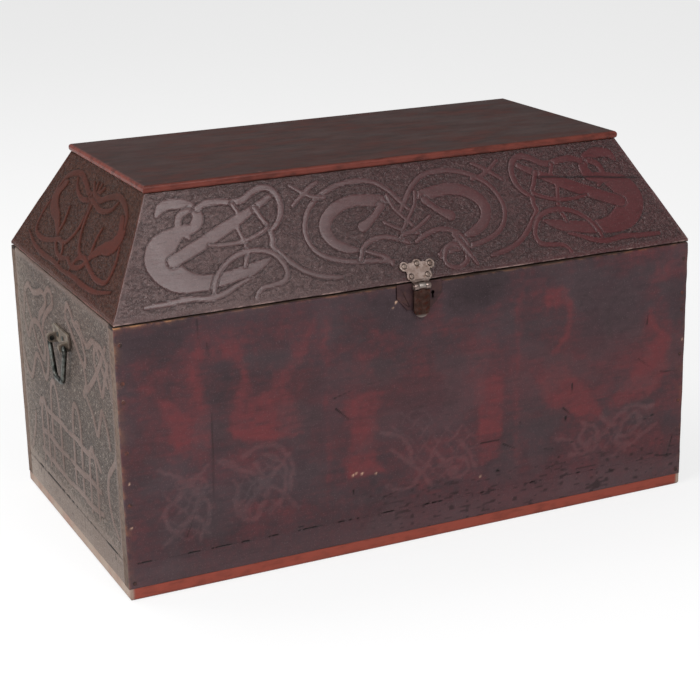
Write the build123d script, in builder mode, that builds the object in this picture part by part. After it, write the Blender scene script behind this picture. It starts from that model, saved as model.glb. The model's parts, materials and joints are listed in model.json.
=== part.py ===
from build123d import *
import os
from math import hypot

os.makedirs("parts", exist_ok=True)

# All sizes are in millimetres. X runs along the front, Y to the back and Z up.
# The origin lies on the floor under the middle of the chest, and the front faces -Y.

# Case boards
width = 900              # length of the chest, over the ends
depth = 500              # front face to back face
case_height = 390        # floor to the top edge of the walls
wall = 20                # thickness of the wall boards
base_thickness = 18
base_inset = 1           # base board behind the faces of the walls
base_round = 5           # worn lower edge of the base board
wall_joint = 54          # glue joint between the two boards of each wall, above the floor
edge_round = 1.5         # worn edges where lid and case meet

# Lid boards
lid_rise = 151           # case to the underside of the top board
lid_land = 5             # upright strip below the slopes
end_run = 80             # how far the end slopes lean in
front_run = 84           # how far the front and back slopes lean in
lid_board = 16           # thickness of the sloping boards
top_thickness = 11
top_overhang = 2
top_round = 4.5          # rounded edge of the top board

# Nails
nail_radius = 1.4
nail_head_radius = 3
nail_head = 1.2
nail_length = 45
lid_nail_length = 25
lid_nail_edge = 6        # in from the upper edge of a slope
nail_edge = 8            # from the end of a front or back board
nail_drops = (25, 78, 104, 175, 250)   # below the top edge of the case
low_nail_rise = 8        # above the base board
base_nail_pitch = 140
lid_nail_pitch = 120

# Screws
screw_radius = 1.9
screw_head_radius = 3.6
screw_head = 1.8
screw_length = 14

# Back hinges
hinge_inset = 150        # end of the chest to the middle of a hinge
hinge_width = 66
hinge_drop = 42          # height of the leaf on the case
hinge_reach = 60         # length of the leaf up the back slope
hinge_plate = 2.5
hinge_knuckle = 5        # outer radius of the knuckles
hinge_pin = 2.2
hinge_stand = 0.5        # knuckles stand off the back face
knuckle_gap = 0.4        # between knuckles, along the pin
leaf_gap = 0.8           # between a leaf and the other leaf's knuckles
pin_clearance = 0.05     # radial
rivet_head = 1.4         # riveted ends of the pins
rivet_spread = 1.5       # rivet head's radius as a share of the pin's

# Hasp
hasp_x = -3.5            # middle of the hasp
hasp_plate = 2.2
hasp_knuckle = 5
hasp_pin = 2
hasp_width = 25          # knuckles and tongue
hasp_middle = 11         # the tongue's own knuckle
hasp_drop = 4            # pin below the top edge of the case
hasp_stand = 0.5
tongue_length = 45       # pin to the tip
tongue_plate = 3
lobe_radius = 7
lobe_wide = 20           # outer lobes from the middle, upper row
lobe_close = 12.6        # lobes from the middle, lower row
lobe_high = 19.5         # rows of lobes, up the slope
lobe_low = 4
lobe_crown = 21.5        # middle lobe of the upper row
lobe_dip = 24            # scallops between the upper lobes
leaf_waist = 18.8        # half the width between the rows
leaf_foot = 16.5         # half the width at the bend
hasp_screw_length = 11

# Staple on the back of the tongue
staple_width = 5
staple_top = 9           # below the top edge of the case
staple_height = 11
staple_reach = 11        # behind the front face
staple_bar = 2.9

# Lock
lock_width = 70
lock_x = -4              # middle of the lock plate
lock_height = 38
lock_side = 20           # upright part of the plate's sides
lock_foot = 38           # width of the plate's lower edge
lock_plate_thickness = 2
lock_depth = 12          # lock case behind the plate
lock_rim = 6             # plate beyond the lock case, all round
lock_wall = 1.5
notch_width = 8
notch_clear = 1          # below the swinging staple
key_x = 17
key_drop = 17            # keyhole below the top edge of the case
key_radius = 2.7
key_slot = 2.6
key_tail = 8.5           # round hole's middle to the end of the slot
bolt_height = 4
bolt_grip = 3            # bolt left in its guide when it is thrown
bolt_thickness = 5.5
bolt_travel = 8
bolt_clear = 0.1         # between the bolt and the walls that guide it
talon_width = 3.5
talon_drop = 7
spring_plate = 0.6
lock_pin_radius = 1.5
lock_pin_edge = 3.5
lock_pin_length = 14

# End handles
handle_y = -5            # middle of the handle, towards the front
handle_drop = 86         # pivot below the top edge of the case
handle_half = 40         # middle of the handle to the upper corner of the bail
grip_half = 18           # middle of the handle to the lower corner of the bail
bail_drop = 56
bail_radius = 3.5
bail_corner = 5
grip_corner = 10
strap_length = 84
strap_height = 22
strap_rise = 8           # middle of the strap above the pivot
strap_plate = 3
lug_width = 8
lug_inner = 24           # middle of the handle to the inner face of a lug
lug_radius = 6.5
handle_stand = 9         # pivot out from the end wall
bail_clearance = 0.05    # radial, in the lugs
strap_screw_half = 12

# Worked out from the sizes above
half_w = width / 2
half_d = depth / 2
slope_top = case_height + lid_rise
slope_height = lid_rise - lid_land
nail_x = half_w - nail_edge
hinge_x = half_w - hinge_inset
LOW = (Align.CENTER, Align.CENTER, Align.MIN)
INTO_BACK = (0, 1, 0)
INTO_FRONT = (0, -1, 0)


# Boards and fixings

def keep(builder, name):
    builder.part.label = name
    export_step(builder.part, f"parts/{name}.step")


def block(x_range, y_range, z_range, mode=Mode.ADD):
    # A square-edged block between pairs of coordinates
    middle = (sum(x_range) / 2, sum(y_range) / 2, z_range[0])
    with BuildSketch(Plane(origin=middle)) as footprint:
        Rectangle(x_range[1] - x_range[0], y_range[1] - y_range[0])
    extrude(footprint.sketch, amount=z_range[1] - z_range[0], mode=mode)


def drive_nails(spots, mode=Mode.ADD, length=nail_length):
    # Each spot is a plane at the nail's head whose normal points into the wood
    with Locations(*spots):
        Cylinder(nail_head_radius, nail_head, align=LOW, mode=mode)
        Cylinder(nail_radius, length, align=LOW, mode=mode)


def drill_screws(spots, mode=Mode.SUBTRACT, length=screw_length):
    with Locations(*spots):
        Cylinder(screw_radius, length, align=LOW, mode=mode)


def drive_screws(spots, length=screw_length):
    # Round-headed screws: the head stands on the plane, the shank goes into the wood
    drill_screws(spots, Mode.ADD, length)
    with Locations(*spots):
        Cylinder(screw_head_radius, screw_head, align=(Align.CENTER, Align.CENTER, Align.MAX))
    crowns = edges().filter_by(GeomType.CIRCLE)
    crowns = [e for e in crowns if abs(e.radius - screw_head_radius) < 1e-6]
    outer = [e for e in crowns if min(abs((e.arc_center - p.origin).dot(p.z_dir) + screw_head)
                                      for p in spots) < 1e-3]
    fillet(outer, screw_head * 0.7)


def nail_column(x, y, direction):
    heights = [case_height - drop for drop in nail_drops] + [base_thickness + low_nail_rise]
    return [Plane(origin=(x, y, z), z_dir=direction) for z in heights]


front_spots = nail_column(-nail_x, -half_d, INTO_BACK) + nail_column(nail_x, -half_d, INTO_BACK)
back_spots = nail_column(-nail_x, half_d, INTO_FRONT) + nail_column(nail_x, half_d, INTO_FRONT)


def even(length, pitch):
    # Evenly spaced places along a length, centred on zero
    count = max(2, int(length / pitch) + 1)
    step = length / (count - 1)
    return [-length / 2 + step * i for i in range(count)]


base_x = even(width - 4 * wall, base_nail_pitch)
base_y = even(depth - 6 * wall, base_nail_pitch)
base_places = [(x, side * (half_d - wall / 2)) for side in (-1, 1) for x in base_x]
base_places += [(side * (half_w - wall / 2), y) for side in (-1, 1) for y in base_y]
base_spots = [Plane(origin=(x, y, 0), z_dir=(0, 0, 1)) for x, y in base_places]


# Base board

with BuildPart() as base_board:
    block((-half_w + base_inset, half_w - base_inset), (-half_d + base_inset, half_d - base_inset),
          (0, base_thickness))
    fillet(base_board.faces().sort_by(Axis.Z)[0].edges(), base_round)
    drive_nails(base_spots, Mode.SUBTRACT)
keep(base_board, "base_board")


# Lock outline, on the front face

lock_bottom = case_height - lock_height
key_z = case_height - key_drop
hasp_y = -half_d - hasp_stand - hasp_knuckle
hasp_z = case_height - hasp_drop
staple_tip = staple_reach + hasp_stand + hasp_knuckle
staple_low = staple_top + staple_height - hasp_drop
notch_bottom = hasp_z - hypot(staple_tip, staple_low) - notch_clear
notch_back = lock_plate_thickness + lock_depth - lock_wall
face_plane = Plane(origin=(0, -half_d, 0), x_dir=(1, 0, 0), z_dir=(0, -1, 0))


lock_pin_spots = [(lock_x + sx * (half - lock_pin_edge), z)
                  for half, z in ((lock_width / 2, case_height - lock_pin_edge),
                                  (lock_foot / 2, lock_bottom + lock_pin_edge)) for sx in (-1, 1)]


def lock_outline(shrink=0):
    # The shield: upright sides, cut corners and a short lower edge
    low = lock_bottom + shrink
    high = case_height - shrink
    half = lock_width / 2 - shrink
    foot = lock_foot / 2 - shrink / 2
    shoulder = case_height - lock_side
    with BuildLine() as shield:
        Polyline((lock_x - half, high), (lock_x - half, shoulder), (lock_x - foot, low),
                 (lock_x + foot, low), (lock_x + half, shoulder), (lock_x + half, high), close=True)
    make_face(shield.edges())


def cut_notch():
    # The way in and out of the staple, open at the top of the case
    block((hasp_x - notch_width / 2, hasp_x + notch_width / 2), (-half_d, -half_d + notch_back),
          (notch_bottom, case_height), Mode.SUBTRACT)


# Front and back walls, which overlap the ends of the end walls

def long_wall(side, z_range, spots):
    block((-half_w, half_w), sorted((side * half_d, side * (half_d - wall))), z_range)
    drive_nails(spots, Mode.SUBTRACT)


def hinge_screw_spots(side):
    # Two screws in each leaf of a back hinge
    x = side * hinge_x
    case_spots = [Plane(origin=(x + dx, half_d + hinge_plate, case_height - hinge_drop * 0.7),
                        z_dir=INTO_FRONT) for dx in (-hinge_width / 4, hinge_width / 4)]
    lid_spots = [Plane(origin=(x + dx, half_d, case_height + lid_land), x_dir=(1, 0, 0),
                       z_dir=(0, -slope_height, -front_run)) for dx in (-hinge_width / 4, hinge_width / 4)]
    lid_spots = [p.offset(-hinge_plate) for p in lid_spots]
    up = Vector(0, -front_run, slope_height).normalized() * (hinge_reach * 0.6)
    lid_spots = [Plane(origin=p.origin + up, x_dir=p.x_dir, z_dir=p.z_dir) for p in lid_spots]
    return case_spots, lid_spots


hinge_spots = {side: hinge_screw_spots(side) for side in (-1, 1)}

with BuildPart() as front_upper_board:
    long_wall(-1, (wall_joint, case_height), front_spots)
    fillet(front_upper_board.edges().filter_by(Axis.X).group_by(Axis.Z)[-1].sort_by(Axis.Y)[0],
           edge_round)
    with BuildSketch(face_plane):
        lock_outline()
    extrude(amount=-lock_plate_thickness, mode=Mode.SUBTRACT)
    with BuildSketch(face_plane):
        lock_outline(lock_rim)
    extrude(amount=-lock_plate_thickness - lock_depth, mode=Mode.SUBTRACT)
    with BuildSketch(face_plane):
        with Locations(*lock_pin_spots):
            Circle(lock_pin_radius)
    extrude(amount=-lock_pin_length, mode=Mode.SUBTRACT)
    cut_notch()
keep(front_upper_board, "front_upper_board")

with BuildPart() as front_lower_board:
    long_wall(-1, (base_thickness, wall_joint), front_spots)
    drive_nails(base_spots, Mode.SUBTRACT)
keep(front_lower_board, "front_lower_board")

with BuildPart() as back_upper_board:
    long_wall(1, (wall_joint, case_height), back_spots)
    fillet(back_upper_board.edges().filter_by(Axis.X).group_by(Axis.Z)[-1].sort_by(Axis.Y)[-1],
           edge_round)
    for side in (-1, 1):
        drill_screws(hinge_spots[side][0])
keep(back_upper_board, "back_upper_board")

with BuildPart() as back_lower_board:
    long_wall(1, (base_thickness, wall_joint), back_spots)
    drive_nails(base_spots, Mode.SUBTRACT)
keep(back_lower_board, "back_lower_board")


# End walls and their handles

handle_z = case_height - handle_drop


def strap_spots(side):
    return [Plane(origin=(side * (half_w + strap_plate), handle_y + dy, handle_z + strap_rise),
                  z_dir=(-side, 0, 0)) for dy in (-strap_screw_half, strap_screw_half)]


for side, name in ((-1, "left"), (1, "right")):
    across = sorted((side * half_w, side * (half_w - wall)))
    along = (-half_d + wall, half_d - wall)
    with BuildPart() as upper:
        block(across, along, (wall_joint, case_height))
        rim = upper.edges().filter_by(Axis.Y).group_by(Axis.Z)[-1].sort_by(Axis.X)
        fillet(rim[0] if side < 0 else rim[-1], edge_round)
        drive_nails(front_spots + back_spots, Mode.SUBTRACT)
        drive_nails(base_spots, Mode.SUBTRACT)
        drill_screws(strap_spots(side))
    keep(upper, f"{name}_upper_board")

    with BuildPart() as lower:
        block(across, along, (base_thickness, wall_joint))
        drive_nails(front_spots + back_spots + base_spots, Mode.SUBTRACT)
    keep(lower, f"{name}_lower_board")

    # Strap with two lugs, seen from outside the chest
    outside = Plane(origin=(side * half_w, handle_y, handle_z), x_dir=(0, -side, 0),
                    z_dir=(side, 0, 0))
    with BuildPart() as strap:
        with BuildSketch(Plane(origin=outside.origin + Vector(0, 0, strap_rise),
                               x_dir=outside.x_dir, z_dir=outside.z_dir)):
            SlotOverall(strap_length, strap_height)
        extrude(amount=strap_plate)
        for hand in (-1, 1):
            lug_at = handle_y + hand * (lug_inner + lug_width / 2)
            with BuildSketch(Plane(origin=(side * half_w, lug_at + lug_width / 2, handle_z),
                                   x_dir=(side, 0, 0), z_dir=(0, 1, 0))):
                with Locations((handle_stand, 0)):
                    Circle(lug_radius)
                with Locations((handle_stand / 2, 0)):
                    Rectangle(handle_stand, 2 * lug_radius)
            extrude(amount=-lug_width)
        bore = Plane(origin=(side * (half_w + handle_stand), handle_y, handle_z), z_dir=(0, 1, 0))
        with BuildSketch(bore):
            Circle(bail_radius + bail_clearance)
        extrude(amount=strap_length, both=True, mode=Mode.SUBTRACT)
        drill_screws(strap_spots(side))
    keep(strap, f"{name}_handle_strap")

    with BuildPart() as strap_screws:
        drive_screws(strap_spots(side))
    keep(strap_screws, f"{name}_handle_screws")

    # Bail: a round bar bent to a tapering loop, its two ends turned in through the lugs
    hang = Plane(origin=(side * (half_w + handle_stand), handle_y, handle_z), x_dir=(0, 1, 0),
                 z_dir=(1, 0, 0))
    tip = lug_inner - 1
    with BuildPart() as bail:
        with BuildLine(hang) as route:
            FilletPolyline((-tip, 0), (-handle_half, 0), (-grip_half, -bail_drop),
                           (grip_half, -bail_drop), (handle_half, 0), (tip, 0),
                           radius=[bail_corner, grip_corner, grip_corner, bail_corner])
        with BuildSketch(Plane(origin=route.line @ 0, z_dir=route.line % 0)):
            Circle(bail_radius)
        sweep(path=route.line)
    keep(bail, f"{name}_handle_bail")

with BuildPart() as front_nails:
    drive_nails(front_spots)
keep(front_nails, "front_nails")

with BuildPart() as back_nails:
    drive_nails(back_spots)
keep(back_nails, "back_nails")

with BuildPart() as base_nails:
    drive_nails(base_spots)
keep(base_nails, "base_nails")


# Lid: four sloping boards mitred at the corners, and a flat top board

def slope_inset(run):
    # Horizontal thickness of a sloping board
    return lid_board * hypot(slope_height, run) / slope_height


def slope_profile(edge, run):
    # Section of a sloping board whose outer face stands at -edge
    inset = slope_inset(run)
    foot = inset - run * lid_land / slope_height
    with BuildLine() as section:
        Polyline((-edge, case_height), (-edge, case_height + lid_land), (-edge + run, slope_top),
                 (-edge + run + inset, slope_top), (-edge + foot, case_height), close=True)
    board = make_face(section.edges())
    fillet(board.vertices().sort_by(Axis.Y)[:2].sort_by(Axis.X)[0], edge_round)


def cut_mitres(corners):
    # Each corner is its two signs and the sign of the side that stays
    for sx, sy, stay in corners:
        normal = (-sx * front_run * stay, sy * end_run * stay, 0)
        split(bisect_by=Plane(origin=(sx * half_w, sy * half_d, 0), z_dir=normal), keep=Keep.TOP)


lid_top_x = half_w - end_run - lid_nail_edge
lid_top_y = half_d - front_run - lid_nail_edge
top_z = slope_top + top_thickness
lid_places = [(x, side * lid_top_y) for side in (-1, 1) for x in even(2 * lid_top_x - 60, lid_nail_pitch)]
lid_places += [(side * lid_top_x, y) for side in (-1, 1) for y in even(2 * lid_top_y - 60, lid_nail_pitch)]
lid_spots = [Plane(origin=(x, y, top_z), z_dir=(0, 0, -1)) for x, y in lid_places]

# Outer corner of a bent plate, up from the bend, as a share of the plate's thickness
slope_turn = (hypot(slope_height, front_run) - slope_height) / front_run

# Hasp screws on the front slope of the lid
slope_up = Vector(0, front_run, slope_height).normalized()
slope_out = Vector(0, -slope_height, front_run).normalized()
slope_foot = Vector(hasp_x, -half_d, case_height + lid_land)
lobes = [(-lobe_wide, lobe_high), (0, lobe_crown), (lobe_wide, lobe_high),
         (-lobe_close, lobe_low), (lobe_close, lobe_low)]
hasp_spots = [Plane(origin=slope_foot + Vector(dx, 0, 0) + slope_up * rise + slope_out * hasp_plate,
                    z_dir=-slope_out) for dx, rise in lobes]

with BuildPart() as lid_front_board:
    with BuildSketch(Plane.YZ):
        slope_profile(half_d, front_run)
    extrude(amount=half_w, both=True)
    cut_mitres([(-1, -1, 1), (1, -1, 1)])
    drill_screws(hasp_spots, length=hasp_screw_length)
    drive_nails(lid_spots, Mode.SUBTRACT, lid_nail_length)
keep(lid_front_board, "lid_front_board")

with BuildPart() as lid_back_board:
    with BuildSketch(Plane(origin=(0, 0, 0), x_dir=(0, -1, 0), z_dir=(-1, 0, 0))):
        slope_profile(half_d, front_run)
    extrude(amount=half_w, both=True)
    cut_mitres([(-1, 1, 1), (1, 1, 1)])
    for side in (-1, 1):
        drill_screws(hinge_spots[side][1])
    drive_nails(lid_spots, Mode.SUBTRACT, lid_nail_length)
keep(lid_back_board, "lid_back_board")

for side, name in ((-1, "left"), (1, "right")):
    with BuildPart() as end_slope:
        with BuildSketch(Plane(origin=(0, 0, 0), x_dir=(-side, 0, 0), z_dir=(0, side, 0))):
            slope_profile(half_w, end_run)
        extrude(amount=half_d, both=True)
        cut_mitres([(side, -1, -1), (side, 1, -1)])
        drive_nails(lid_spots, Mode.SUBTRACT, lid_nail_length)
    keep(end_slope, f"lid_{name}_board")

with BuildPart() as lid_top_board:
    reach_x = half_w - end_run + top_overhang
    reach_y = half_d - front_run + top_overhang
    block((-reach_x, reach_x), (-reach_y, reach_y), (slope_top, top_z))
    rims = lid_top_board.faces().filter_by(Axis.Z).edges()
    fillet(rims, top_round)
    drive_nails(lid_spots, Mode.SUBTRACT, lid_nail_length)
keep(lid_top_board, "lid_top_board")

with BuildPart() as lid_nails:
    drive_nails(lid_spots, length=lid_nail_length)
keep(lid_nails, "lid_nails")


# Back hinges: a leaf on the case, a bent leaf on the lid and a riveted pin

hinge_y = half_d + hinge_stand + hinge_knuckle
knuckle = hinge_width / 3


def round_bar(x_range, y, z, radius, mode=Mode.ADD):
    with BuildSketch(Plane(origin=(x_range[0], y, z), z_dir=(1, 0, 0))) as section:
        Circle(radius)
    extrude(section.sketch, amount=x_range[1] - x_range[0], mode=mode)


def knuckle_ring(x_range, y, z, outer, bore):
    # A rolled knuckle about an axis along X
    round_bar(x_range, y, z, outer)
    round_bar(x_range, y, z, bore, Mode.SUBTRACT)


def clear_axis(x_range, y, z, outer, gap):
    # Room for the other leaf's knuckle
    block(x_range, (y - outer - hinge_stand - gap, y + outer + gap), (z - outer - gap, z + outer + gap),
          Mode.SUBTRACT)


def riveted_pin(x_range, y, z, radius):
    low, high = x_range
    round_bar(x_range, y, z, radius)
    round_bar((low - rivet_head, low), y, z, radius * rivet_spread)
    round_bar((high, high + rivet_head), y, z, radius * rivet_spread)


for side, name in ((-1, "left"), (1, "right")):
    x0 = side * hinge_x - hinge_width / 2
    ends = ((x0, x0 + knuckle), (x0 + 2 * knuckle, x0 + 3 * knuckle))
    middle = (x0 + knuckle + knuckle_gap, x0 + 2 * knuckle - knuckle_gap)
    bore = hinge_pin + pin_clearance
    case_spots, slope_spots = hinge_spots[side]

    with BuildPart() as case_leaf:
        block((x0, x0 + hinge_width), (half_d, half_d + hinge_plate),
              (case_height - hinge_drop, case_height))
        clear_axis((x0 + knuckle, x0 + 2 * knuckle), hinge_y, case_height, hinge_knuckle, leaf_gap)
        for span in ends:
            knuckle_ring(span, hinge_y, case_height, hinge_knuckle, bore)
        drill_screws(case_spots)
    keep(case_leaf, f"hinge_{name}_case_leaf")

    with BuildPart() as lid_leaf:
        lean = Vector(0, -front_run, slope_height).normalized()
        out = Vector(0, slope_height, front_run).normalized() * hinge_plate
        bend = Vector(0, half_d, case_height + lid_land)
        crest = bend + lean * hinge_reach
        turn = hinge_plate * slope_turn
        with BuildSketch(Plane(origin=(x0, 0, 0), x_dir=(0, 1, 0), z_dir=(1, 0, 0))):
            with BuildLine():
                Polyline((half_d, case_height), (bend.Y, bend.Z), (crest.Y, crest.Z),
                         (crest.Y + out.Y, crest.Z + out.Z), (half_d + hinge_plate, bend.Z + turn),
                         (half_d + hinge_plate, case_height), close=True)
            make_face()
        extrude(amount=hinge_width)
        for span in ((x0, middle[0]), (middle[1], x0 + hinge_width)):
            clear_axis(span, hinge_y, case_height, hinge_knuckle, leaf_gap)
        knuckle_ring(middle, hinge_y, case_height, hinge_knuckle, bore)
        drill_screws(slope_spots)
    keep(lid_leaf, f"hinge_{name}_lid_leaf")

    with BuildPart() as hinge_pin_piece:
        riveted_pin((x0, x0 + hinge_width), hinge_y, case_height, hinge_pin)
    keep(hinge_pin_piece, f"hinge_{name}_pin")

with BuildPart() as hinge_case_screws:
    drive_screws(hinge_spots[-1][0] + hinge_spots[1][0])
keep(hinge_case_screws, "hinge_case_screws")

with BuildPart() as hinge_lid_screws:
    drive_screws(hinge_spots[-1][1] + hinge_spots[1][1])
keep(hinge_lid_screws, "hinge_lid_screws")


# Hasp: a lobed leaf on the lid, a hanging tongue and its staple

hasp_left = hasp_x - hasp_width / 2
hasp_right = hasp_x + hasp_width / 2
tongue_left = hasp_x - hasp_middle / 2
tongue_right = hasp_x + hasp_middle / 2
hasp_bore = hasp_pin + pin_clearance
slope_plane = Plane(origin=slope_foot, x_dir=(1, 0, 0), z_dir=slope_out)

with BuildPart() as hasp_leaf:
    with BuildSketch(slope_plane):
        with Locations(*lobes):
            Circle(lobe_radius)
        with BuildLine():
            Polyline((-lobe_wide, lobe_high), (-lobe_wide * 0.6, lobe_dip), (lobe_wide * 0.6, lobe_dip),
                     (lobe_wide, lobe_high), (leaf_waist, (lobe_high + lobe_low) / 2), (leaf_foot, 0),
                     (-leaf_foot, 0), (-leaf_waist, (lobe_high + lobe_low) / 2), close=True)
        make_face()
        with Locations((0, -lobe_radius)):
            Rectangle(4 * lobe_wide, 2 * lobe_radius, mode=Mode.SUBTRACT)
    extrude(amount=hasp_plate)
    # Upright part over the lid's lower strip, bent from the same plate
    lap = slope_foot + slope_up * hasp_plate
    lap_out = lap + slope_out * hasp_plate
    with BuildSketch(Plane(origin=(hasp_x - leaf_foot, 0, 0), x_dir=(0, 1, 0), z_dir=(1, 0, 0))):
        with BuildLine():
            Polyline((-half_d, case_height + edge_round), (-half_d, slope_foot.Z), (lap.Y, lap.Z),
                     (lap_out.Y, lap_out.Z), (-half_d - hasp_plate, slope_foot.Z + hasp_plate * slope_turn),
                     (-half_d - hasp_plate, case_height + edge_round), close=True)
        make_face()
    extrude(amount=2 * leaf_foot)
    # The upright part narrows to the knuckles
    with BuildSketch(Plane(origin=(hasp_x, -half_d, 0), x_dir=(1, 0, 0), z_dir=(0, -1, 0))):
        for hand in (-1, 1):
            with BuildLine():
                Polyline((hand * hasp_width / 2, case_height), (hand * leaf_foot, case_height),
                         (hand * leaf_foot, slope_foot.Z), (hand * hasp_width / 2, case_height + edge_round),
                         close=True)
            make_face()
    extrude(amount=2 * hasp_plate, mode=Mode.SUBTRACT)
    # Necks down to the knuckles
    neck_out = -half_d - hasp_stand - hasp_plate
    for span in ((hasp_left, tongue_left), (tongue_right, hasp_right)):
        block(span, (neck_out, -half_d - hasp_stand), (hasp_z, case_height + 2 * edge_round))
        knuckle_ring(span, hasp_y, hasp_z, hasp_knuckle, hasp_bore)
    drill_screws(hasp_spots, length=hasp_screw_length)
keep(hasp_leaf, "hasp_leaf")

with BuildPart() as hasp_screws:
    drive_screws(hasp_spots, hasp_screw_length)
keep(hasp_screws, "hasp_screws")

with BuildPart() as hasp_pin_piece:
    riveted_pin((hasp_left, hasp_right), hasp_y, hasp_z, hasp_pin)
keep(hasp_pin_piece, "hasp_pin")

staple_z = case_height - staple_top - staple_height / 2
tongue_back = hasp_y + tongue_plate / 2

with BuildPart() as hasp_tongue:
    with BuildSketch(Plane(origin=(hasp_x, tongue_back, hasp_z), x_dir=(1, 0, 0), z_dir=(0, -1, 0))):
        with BuildLine():
            half = hasp_width / 2
            shoulder = -hasp_knuckle - knuckle_gap * 2
            start = -tongue_length + half
            Polyline((-half, start), (-half, shoulder), (half, shoulder), (half, start))
            ThreePointArc((half, start), (0, -tongue_length), (-half, start))
        make_face()
        with Locations((0, shoulder / 2)):
            Rectangle(hasp_middle - 2 * knuckle_gap, -shoulder + 2)
    extrude(amount=tongue_plate)
    knuckle_ring((tongue_left + knuckle_gap, tongue_right - knuckle_gap), hasp_y, hasp_z,
                 hasp_knuckle, hasp_bore)
keep(hasp_tongue, "hasp_tongue")

with BuildPart() as hasp_staple:
    block((hasp_x - staple_width / 2, hasp_x + staple_width / 2), (tongue_back, -half_d + staple_reach),
          (staple_z - staple_height / 2, staple_z + staple_height / 2))
    fillet(hasp_staple.edges().filter_by(Axis.X).group_by(Axis.Y)[-1], staple_bar / 2)
    eye = (-half_d + lock_plate_thickness - bolt_clear * 4, -half_d + staple_reach - staple_bar)
    block((hasp_x - staple_width / 2, hasp_x + staple_width / 2), eye,
          (staple_z - staple_height / 2 + staple_bar, staple_z + staple_height / 2 - staple_bar),
          Mode.SUBTRACT)
    # The knuckle of the tongue is round, and the staple stops short of it
    with BuildSketch(Plane(origin=(hasp_x - staple_width / 2, hasp_y, hasp_z), z_dir=(1, 0, 0))):
        Circle(hasp_knuckle)
    extrude(amount=staple_width, mode=Mode.SUBTRACT)
keep(hasp_staple, "hasp_staple")


# Lock: a plate let into the front, a shallow case behind it, a bolt and its spring


with BuildPart() as lock_plate:
    with BuildSketch(face_plane):
        lock_outline()
    extrude(amount=-lock_plate_thickness)
    cut_notch()
    with BuildSketch(face_plane):
        with Locations((key_x, key_z)):
            Circle(key_radius)
        with Locations((key_x, key_z - key_tail / 2)):
            Rectangle(key_slot, key_tail)
        with Locations(*lock_pin_spots):
            Circle(lock_pin_radius)
    extrude(amount=-lock_plate_thickness, mode=Mode.SUBTRACT)
keep(lock_plate, "lock_plate")

case_front = face_plane.offset(-lock_plate_thickness)
bolt_z = staple_z
bolt_x = hasp_x + notch_width / 2 + bolt_clear * 5
bolt_length = bolt_travel + bolt_grip
bolt_y = -half_d + lock_plate_thickness + bolt_clear
pad_y = bolt_y + bolt_thickness + bolt_clear

with BuildPart() as lock_case:
    with BuildSketch(case_front):
        lock_outline(lock_rim)
    extrude(amount=-lock_depth)
    with BuildSketch(case_front):
        lock_outline(lock_rim + lock_wall)
    extrude(amount=-lock_depth + lock_wall, mode=Mode.SUBTRACT)
    # Ledge behind the bolt, which keeps it against the plate
    block((bolt_x, bolt_x + bolt_length), (pad_y, -half_d + notch_back), (bolt_z - bolt_height / 2,
                                                                         bolt_z + bolt_height / 2))
    cut_notch()
keep(lock_case, "lock_case")

with BuildPart() as lock_pins:
    with BuildSketch(face_plane):
        with Locations(*lock_pin_spots):
            Circle(lock_pin_radius)
    extrude(amount=-lock_pin_length)
keep(lock_pins, "lock_pins")

with BuildPart() as lock_bolt:
    block((bolt_x, bolt_x + bolt_length), (bolt_y, bolt_y + bolt_thickness),
          (bolt_z - bolt_height / 2, bolt_z + bolt_height / 2))
    # The talon, which the key pushes
    block((bolt_x + bolt_length - talon_width, bolt_x + bolt_length), (bolt_y, bolt_y + bolt_thickness),
          (bolt_z - bolt_height / 2 - talon_drop, bolt_z - bolt_height / 2))
keep(lock_bolt, "lock_bolt")

with BuildPart() as lock_spring:
    # A flat strip above the bolt, fixed in the lock case's side
    spring_z = bolt_z + bolt_height / 2 + bolt_clear * 3
    block((bolt_x, lock_x + lock_width / 2 - lock_rim - lock_wall), (bolt_y + bolt_thickness / 3,
          bolt_y + bolt_thickness * 2 / 3), (spring_z, spring_z + spring_plate))
keep(lock_spring, "lock_spring")
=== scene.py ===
import json
import math

import bpy
import numpy as np
from mathutils import Matrix, Vector

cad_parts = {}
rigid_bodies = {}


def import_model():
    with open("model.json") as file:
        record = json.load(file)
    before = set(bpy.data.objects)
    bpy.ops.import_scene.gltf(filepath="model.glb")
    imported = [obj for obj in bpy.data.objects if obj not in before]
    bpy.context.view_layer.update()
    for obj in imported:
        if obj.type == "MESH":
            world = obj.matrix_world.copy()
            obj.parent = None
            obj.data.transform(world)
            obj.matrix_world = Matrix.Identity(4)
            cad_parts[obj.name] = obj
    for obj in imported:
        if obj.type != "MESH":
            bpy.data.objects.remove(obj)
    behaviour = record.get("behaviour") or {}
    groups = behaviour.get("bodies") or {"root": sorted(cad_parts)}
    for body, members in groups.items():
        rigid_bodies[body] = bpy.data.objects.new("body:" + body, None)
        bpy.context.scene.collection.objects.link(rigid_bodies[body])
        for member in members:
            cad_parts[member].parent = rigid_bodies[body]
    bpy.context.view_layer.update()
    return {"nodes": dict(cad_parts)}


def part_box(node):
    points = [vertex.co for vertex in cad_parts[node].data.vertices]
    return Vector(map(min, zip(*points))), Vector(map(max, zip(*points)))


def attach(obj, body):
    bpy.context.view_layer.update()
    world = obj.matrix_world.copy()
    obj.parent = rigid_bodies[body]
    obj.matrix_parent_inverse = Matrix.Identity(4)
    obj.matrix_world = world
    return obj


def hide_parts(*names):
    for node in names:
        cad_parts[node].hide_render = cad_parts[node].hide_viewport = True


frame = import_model()

# Lengths in this script are millimetres until a mesh is written
MM = 0.001
UP = np.array([0.0, 0.0, 1.0])


def in_mm(box):
    """The low and the high corner of a box of the frame."""
    return [np.array(corner) / MM for corner in box]


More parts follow.
